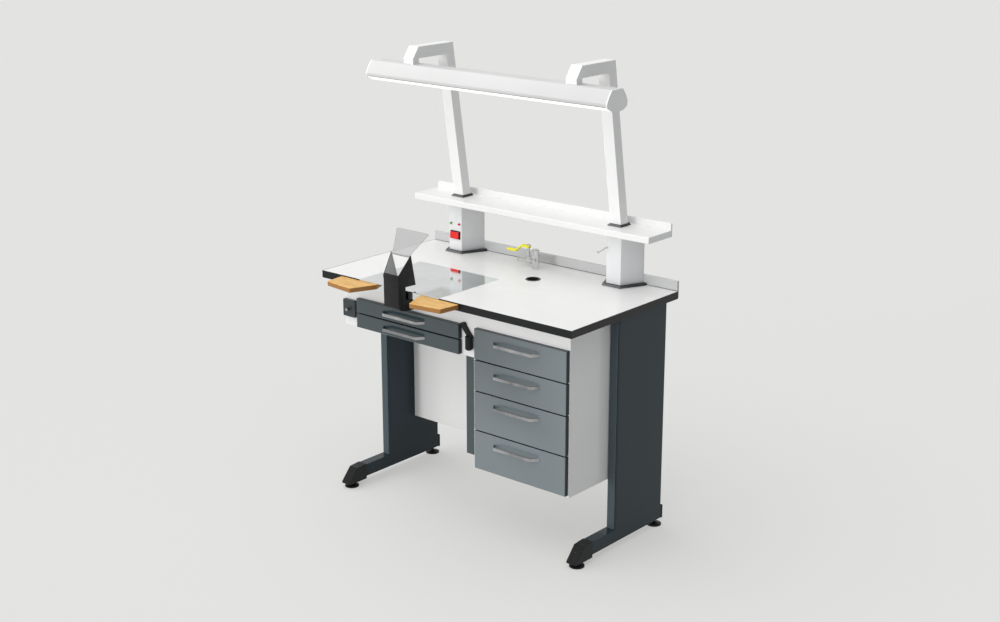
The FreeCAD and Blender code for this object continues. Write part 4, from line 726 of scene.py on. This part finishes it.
class BENCH_OT_controls(bpy.types.Operator):
    """Knee lever and the plate with its pull knob"""
    bl_idname = "bench.controls"
    bl_label = "Knee lever and knob"

    def execute(self, context):
        sizes, tints = settings(context)
        dress(("knee_lever",), made("Black plastic"), sizes.fine_round)
        dress(("control_plate",), gloss_plastic("Plate plastic", tints.control, roughness=0.3),
              sizes.edge_round)
        silver = bare_metal("Fitting chrome", tints.chrome, low=0.12, high=0.2,
                            along=(1.0, 1.0, 0.2), marks=0.02)
        dress(("push_pull_knob",), silver, sizes.fine_round)
        return {"FINISHED"}


class BENCH_OT_armrests(bpy.types.Operator):
    """Oiled wooden armrests"""
    bl_idname = "bench.armrests"
    bl_label = "Armrests"

    def execute(self, context):
        sizes, tints = settings(context)
        wood = oiled_wood("Oiled hardwood", tints.wood_light, tints.wood_dark, tints.wood_edge)
        dress(("armrest_left", "armrest_right"), wood, sizes.edge_round)
        return {"FINISHED"}


class BENCH_OT_hood(bpy.types.Operator):
    """Suction hood and its clear tilting shield"""
    bl_idname = "bench.hood"
    bl_label = "Suction hood and shield"

    def execute(self, context):
        sizes, tints = settings(context)
        low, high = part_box("suction_hood")
        black = two_sided_hood("Hood plastic", tints.hood, tints.hood_inside,
                               (low[0] + high[0]) / 2)
        self.add_shell(sizes, black)
        dress(("tilt_shield",), clear_plastic("Clear plastic", tints.clear), sizes.fine_round)
        dress(("shield_rod",), made("Rail steel"))
        return {"FINISHED"}

    def add_shell(self, sizes, material):
        """Hood with its wings drawn back to the notch and a squarer chin."""
        piece = recast("suction_hood")
        low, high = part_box("suction_hood")
        middle = (low[0] + high[0]) / 2
        notch = low[2] + 96 * MM
        chin_back, chin = low[1] + 9 * MM, low[2] + 30 * MM
        bend_y, bend_z = low[1] + 14 * MM, low[2] + 18 * MM
        for side in BOTH_WAYS:
            pull(piece, lambda x, y, z: (x - middle) * side > 0 and near(z, notch),
                 (-side * sizes.wing_inward, sizes.wing_back, -sizes.wing_drop))
        pull(piece, lambda x, y, z: y < chin_back and near(z, chin), (0, 0, -sizes.chin_drop))
        pull(piece, lambda x, y, z: near(y, bend_y, 5 * MM) and near(z, bend_z, 4 * MM),
             (0, sizes.bend_back, -sizes.bend_drop))
        bevelled(piece, sizes.fine_round)
        settle(piece, "hood_shell", "bench", material)
        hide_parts("suction_hood")


class BENCH_OT_uprights(bpy.types.Operator):
    """Pillars, base plates, posts and lamp"""
    bl_idname = "bench.uprights"
    bl_label = "Pillars, posts and lamp"

    def execute(self, context):
        sizes, tints = settings(context)
        dress(("post_left", "post_right", "lamp_end_caps"),
              powder_coat("White coat", tints.coat, roughness=0.35), sizes.edge_round)
        self.add_lamp(sizes, powder_coat("Lamp coat", tints.lamp, roughness=0.35),
                      glowing("Opal", tints.opal, strength=0.6, roughness=0.35))
        sheet = powder_coat("Pillar coat", tints.pillar, roughness=0.35)
        for side in SIDES:
            self.add_case(sizes, f"pillar_{side}", sheet)
        # The plates' front facets take the lighter plate tone as painted light; their other facets
        # keep the darker side tone.
        low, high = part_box("pillar_right")
        coat = lacquer("Plate coat", tints.plate, tints.plate, tints.plate_side,
                       (low[0], high[0]))
        self.add_plates(sizes, coat)
        return {"FINISHED"}

    def add_lamp(self, sizes, coat, opal):
        """Housing drawn down over the front of its lit window, with a black strip between them as
        painted shade in the seam.
        """
        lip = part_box("lamp_housing")[0][2]
        low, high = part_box("lamp_diffuser")
        middle = (low[0] + high[0]) / 2
        rim = high[2] - 0.2 * MM
        down = looks(z=-1)
        shell = recast("lamp_housing")
        pick(shell, lambda face: down(face) and face.center.y < 0)
        skirt = (0, sizes.lamp_lean, -sizes.lamp_skirt)
        bpy.ops.mesh.extrude_region_move(TRANSFORM_OT_translate={"value": skirt})
        edit_done()
        bevelled(shell, sizes.edge_round)
        settle(shell, "lamp_shell", "bench", coat)
        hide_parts("lamp_housing")
        window = recast("lamp_diffuser")
        pull(window, lambda x, y, z: z > rim and y < 0,
             (0, sizes.lamp_lean, sizes.window_overlap - sizes.lamp_skirt))
        settle(window, "lamp_window", "bench", opal)
        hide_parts("lamp_diffuser")
        self.add_gap_shadow(sizes, (middle, low[1] + sizes.seam_setback,
                              lip - sizes.lamp_skirt - sizes.seam_drop), high[0] - low[0])

    def add_gap_shadow(self, sizes, middle, width):
        """Thin black strip with a dished front, put in the lamp's seam as painted shade."""
        rim, dish = 0.25 * MM, 0.2 * MM
        piece = block(middle, (width, sizes.seam_depth, sizes.seam_height))
        pick(piece, looks(y=-1))
        bpy.ops.mesh.inset(thickness=rim, depth=0)
        bpy.ops.transform.translate(value=(0, dish, 0))
        edit_done()
        bevelled(piece, sizes.seam_round)
        settle(piece, "lamp_seam", "bench", made("Black plastic"))

    def narrow(self, piece, middle, amount, choice):
        """Draw the points on both sides of a middle towards it."""
        reach = 100 * MM
        for side in BOTH_WAYS:
            pull(piece, lambda x, y, z: 0 < (x - middle) * side < reach and choice(x, y, z),
                 (-amount * side, 0, 0))

    def add_case(self, sizes, pillar, material):
        """Pillar that widens evenly from its front to its back."""
        piece = recast(pillar)
        low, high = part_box(pillar)
        middle = (low[0] + high[0]) / 2
        bend_front, bend_back = high[1] - 20 * MM, high[1] - 6 * MM
        self.narrow(piece, middle, sizes.case_middle, lambda x, y, z: bend_front < y < bend_back)
        self.narrow(piece, middle, sizes.case_back, lambda x, y, z: y > bend_back)
        bevelled(piece, sizes.edge_round)
        settle(piece, f"{pillar}_case", "bench", material)
        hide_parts(pillar)

    def add_plates(self, sizes, coat):
        """Flared plates under the pillars and posts."""
        piece = recast("base_plates")
        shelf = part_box("shelf")[0][2]
        for pillar in ("pillar_left", "pillar_right"):
            low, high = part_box(pillar)
            middle = (low[0] + high[0]) / 2
            bevel, flare = low[1] - 13 * MM, low[1] + 35 * MM
            self.narrow(piece, middle, sizes.plate_front, lambda x, y, z: z < shelf and y < bevel)
            self.narrow(piece, middle, sizes.plate_middle,
                        lambda x, y, z: z < shelf and bevel < y < flare)
            self.narrow(piece, middle, sizes.plate_back, lambda x, y, z: z < shelf and y > flare)
        bevelled(piece, sizes.fine_round)
        settle(piece, "flared_plates", "bench", coat)
        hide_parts("base_plates")


class BENCH_OT_fittings(bpy.types.Operator):
    """Cable grommet, light switch, indicator lamps, hook and gas tap"""
    bl_idname = "bench.fittings"
    bl_label = "Switch, hook and tap"

    def execute(self, context):
        sizes, tints = settings(context)
        dress(("switch_frame", "indicator_lamps"), made("Black plastic"), sizes.fine_round)
        dress(("cable_grommet",), gloss_plastic("Grommet plastic", tints.grommet, roughness=0.3),
              sizes.fine_round)
        self.add_rocker(sizes, glowing("Red rocker", tints.red, strength=0.10, roughness=0.25))
        low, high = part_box("indicator_lamps")
        for name, tone, x in (("green", tints.green, low[0] + sizes.lens_inset),
                              ("red", tints.crimson, high[0] - sizes.lens_inset)):
            lens = glowing(f"Lens {name}", tone, strength=0.25, roughness=0.2)
            self.add_lens(sizes, name, (x, low[1] - sizes.lens_proud, (low[2] + high[2]) / 2), lens)
        wire = bare_metal("Hook wire", tints.wire, low=0.3, high=0.4, marks=0.02)
        dress(("pillar_hook",), wire)
        chrome = bare_metal("Tap chrome", tints.tap, low=0.08, high=0.16,
                            along=(1.0, 1.0, 0.2), marks=0.02)
        dress(("tap_body",), chrome, sizes.fine_round)
        self.add_lever(sizes, gloss_plastic("Yellow plastic", tints.yellow, roughness=0.35))
        self.add_tap_rings(sizes, chrome)
        return {"FINISHED"}

    def add_rocker(self, sizes, material):
        """Rocker that stands proud of its frame, with a dished face and a core behind it."""
        low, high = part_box("switch_frame")
        x, z = (low[0] + high[0]) / 2, (low[2] + high[2]) / 2
        front, back = low[1] - sizes.rocker_front, low[1] - sizes.rocker_back
        half_width, half_height = 20 * MM, 12 * MM
        face, edge = front + 0.1 * MM, front + 2 * MM
        piece = block((x, (front + back) / 2, z),
                      (sizes.rocker_width, back - front, sizes.rocker_height))
        pick(piece, looks(y=1))
        bpy.ops.mesh.inset(thickness=sizes.rocker_step, depth=0)
        core = (0, sizes.rocker_reach, 0)
        bpy.ops.mesh.extrude_region_move(TRANSFORM_OT_translate={"value": core})
        edit_done()
        pick(piece, looks(y=-1))
        bpy.ops.mesh.inset(thickness=sizes.rocker_rim, depth=0)
        edit_done()
        pull(piece, lambda a, b, c: b < face and near(c, z, half_height)
             and near(a, x, half_width), (0, sizes.rocker_dish, 0))
        pull(piece, lambda a, b, c: b < edge and c > z, (0, sizes.rocker_lean, 0))
        bevelled(piece, sizes.cap_round)
        settle(piece, "rocker_cap", "rocker", material)
        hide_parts("rocker")

    def add_lens(self, sizes, name, place, material):
        """Domed lens in front of an indicator lamp's collar."""
        radius = sizes.lens_radius
        steps, rise = (0.16, 0.22, 0.28), 0.42
        piece = start(bpy.ops.mesh.primitive_cylinder_add, vertices=32, radius=radius,
                      depth=sizes.lens_depth, location=place,
                      rotation=(math.radians(90), 0, 0))
        pick(piece, looks(z=1))
        for step in steps:
            bpy.ops.mesh.inset(thickness=radius * step, depth=radius * (rise - step))
        edit_done()
        bevelled(piece, sizes.ring_round, segments=3)
        settle(piece, f"lens_{name}", "bench", material, angle=60)

    def add_lever(self, sizes, material):
        """Moulded lever, thicker than its steel core."""
        core = 4 * MM
        piece = recast("tap_lever")
        low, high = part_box("tap_lever")
        middle = (low[1] + high[1]) / 2
        pull(piece, lambda x, y, z: near(z, high[2]) or near(z, low[2] + core),
             (0, 0, sizes.grip_rise))
        for side in BOTH_WAYS:
            pull(piece, lambda x, y, z: (y - middle) * side > 0,
                 (0, side * sizes.grip_spread, 0))
        bevelled(piece, sizes.grip_round, segments=3)
        settle(piece, "tap_grip", "tap_lever", material, angle=50)
        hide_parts("tap_lever")

    def add_tap_rings(self, sizes, material):
        """Nut on the lever, nuts on the body and a ring on the nozzle."""
        low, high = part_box("tap_body")
        lever_low, lever_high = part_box("tap_lever")
        spindle_x, y = lever_high[0] - 6 * MM, (lever_low[1] + lever_high[1]) / 2
        nozzle, bonnet = low[2] + 25 * MM, low[2] + 39 * MM
        lever_nut = (spindle_x, y, lever_high[2] + 7.5 * MM)
        nozzle_ring = (low[0] + 4 * MM, y, nozzle)
        nozzle_nut = (high[0] - 38 * MM, y, nozzle)
        bonnet_nut = (spindle_x, y, bonnet)
        upright, lying = (0, 0, 0), (0, math.radians(90), 0)
        # name, corners, radius, depth, place, direction, body
        rings = (("lever_nut", 6, 7.5 * MM, 6 * MM, lever_nut, upright, "tap_lever"),
                 ("nozzle_ring", 32, 9.3 * MM, 5 * MM, nozzle_ring, lying, "bench"),
                 ("nozzle_nut", 6, 11.5 * MM, 8 * MM, nozzle_nut, lying, "bench"),
                 ("bonnet_nut", 6, 9.5 * MM, 9 * MM, bonnet_nut, upright, "bench"))
        for name, corners, radius, depth, place, direction, body in rings:
            piece = start(bpy.ops.mesh.primitive_cylinder_add, vertices=corners, radius=radius,
                          depth=depth, location=place, rotation=direction)
            pick(piece, lambda face: abs(face.normal.z) > FLAT)
            bpy.ops.mesh.inset(thickness=sizes.ring_inset, depth=sizes.ring_rise)
            edit_done()
            bevelled(piece, sizes.ring_round)
            settle(piece, name, body, material)


# ---------------------------------------------------------------- operators: stage

class BENCH_OT_stage(bpy.types.Operator):
    """Pale floor, plain surroundings, two lights and the camera"""
    bl_idname = "bench.stage"
    bl_label = "Stage"

    def execute(self, context):
        stage = context.scene.bench_stage
        self.add_floor(stage)
        self.add_surroundings(context, stage)
        self.add_light(context, "front_light", stage.front_light, stage.front_tone,
                       (stage.front_tilt, 0.0, stage.front_turn), stage.front_spread)
        self.add_light(context, "side_light", stage.side_light, stage.side_tone,
                       (stage.side_tilt, 0.0, stage.side_turn), stage.side_spread)
        self.add_camera(context, stage)
        context.scene.view_settings.view_transform = "Standard"
        return {"FINISHED"}

    def seen_or_cast(self, tree, seen, cast):
        """One value for what is seen, and another for the light cast on things."""
        choice = tree.nodes.new("ShaderNodeMix")
        diffuse = tree.nodes.new("ShaderNodeLightPath").outputs["Is Diffuse Ray"]
        tree.links.new(diffuse, choice.inputs["Factor"])
        join(tree, seen, choice.inputs["A"])
        join(tree, cast, choice.inputs["B"])
        return choice.outputs["Result"]

    def add_floor(self, stage):
        floor = start(bpy.ops.mesh.primitive_plane_add, size=stage.floor_size)
        floor.name = "floor"
        floor.location.z = -stage.floor_drop
        pale = Finish("Pale floor", stage.floor_colour, roughness=0.9)
        pale.set("Specular IOR Level", 0.0)
        pale.set("Emission Color", (*stage.floor_tone, 1.0))
        glow = self.seen_or_cast(pale.tree, stage.floor_glow, stage.floor_bounce)
        pale.feed("Emission Strength", glow)
        floor.data.materials.append(pale.material)

    def add_surroundings(self, context, stage):
        """Plain backdrop whose light comes mostly from above and from the left front."""
        world = bpy.data.worlds.new("Surroundings")
        context.scene.world = world
        world.use_nodes = True
        tree = world.node_tree
        slope = Vector((-1.0, -1.0, 0.0)).normalized() * stage.sky_side
        slope.z = stage.sky_top
        dot = tree.nodes.new("ShaderNodeVectorMath")
        dot.operation = "DOT_PRODUCT"
        dot.inputs[1].default_value = slope
        tree.links.new(tree.nodes.new("ShaderNodeTexCoord").outputs["Generated"], dot.inputs[0])
        sky = tree.nodes.new("ShaderNodeMath")
        sky.operation = "MAXIMUM"
        sky.inputs[1].default_value = 0.0
        tree.links.new(dot.outputs["Value"], sky.inputs[0])
        background = tree.nodes["Background"]
        background.inputs["Color"].default_value = (*stage.backdrop_tone, 1.0)
        glow = self.seen_or_cast(tree, stage.backdrop, sky.outputs["Value"])
        tree.links.new(glow, background.inputs["Strength"])

    def add_light(self, context, name, power, tone, direction, spread):
        """Wide soft light from one side, which leaves no highlights."""
        data = bpy.data.lights.new(name, "SUN")
        data.energy = power
        data.color = tone
        data.angle = spread
        light = bpy.data.objects.new(name, data)
        light.rotation_euler = Euler(direction)
        light.visible_glossy = False
        context.scene.collection.objects.link(light)

    def add_camera(self, context, stage):
        data = bpy.data.cameras.new("Camera")
        data.sensor_width = stage.camera_sensor
        data.lens = stage.camera_lens
        data.clip_end = stage.camera_reach
        camera = bpy.data.objects.new("Camera", data)
        camera.location = stage.camera_place
        camera.rotation_euler = Euler((stage.camera_tilt, 0.0, stage.camera_turn))
        context.scene.collection.objects.link(camera)
        context.scene.camera = camera


# ---------------------------------------------------------------- panel and registration

PIECES = (BENCH_OT_boards, BENCH_OT_insert, BENCH_OT_metal_frame, BENCH_OT_drawers,
          BENCH_OT_controls, BENCH_OT_armrests, BENCH_OT_hood, BENCH_OT_uprights,
          BENCH_OT_fittings, BENCH_OT_stage)


class BENCH_PT_panel(bpy.types.Panel):
    """Lists the bench's pieces and their settings"""
    bl_idname = "BENCH_PT_panel"
    bl_label = "Jewellers bench"
    bl_space_type = "VIEW_3D"
    bl_region_type = "UI"
    bl_category = "Bench"

    def draw(self, context):
        for piece in PIECES:
            self.layout.operator(piece.bl_idname)
        for group in (context.scene.bench_sizes, context.scene.bench_colours,
                      context.scene.bench_stage):
            box = self.layout.box()
            for name in type(group).__annotations__:
                box.prop(group, name)


GROUPS = {"bench_sizes": BenchSizes, "bench_colours": BenchColours, "bench_stage": BenchStage}
CLASSES = (*GROUPS.values(), *PIECES, BENCH_PT_panel)


def register():
    for entry in CLASSES:
        bpy.utils.register_class(entry)
    for name, group in GROUPS.items():
        setattr(bpy.types.Scene, name, PointerProperty(type=group))


def unregister():
    for name in GROUPS:
        delattr(bpy.types.Scene, name)
    for entry in reversed(CLASSES):
        bpy.utils.unregister_class(entry)


def main():
    register()
    for piece in PIECES:
        group, name = piece.bl_idname.split(".")
        getattr(getattr(bpy.ops, group), name)()


if __name__ == "__main__":
    main()
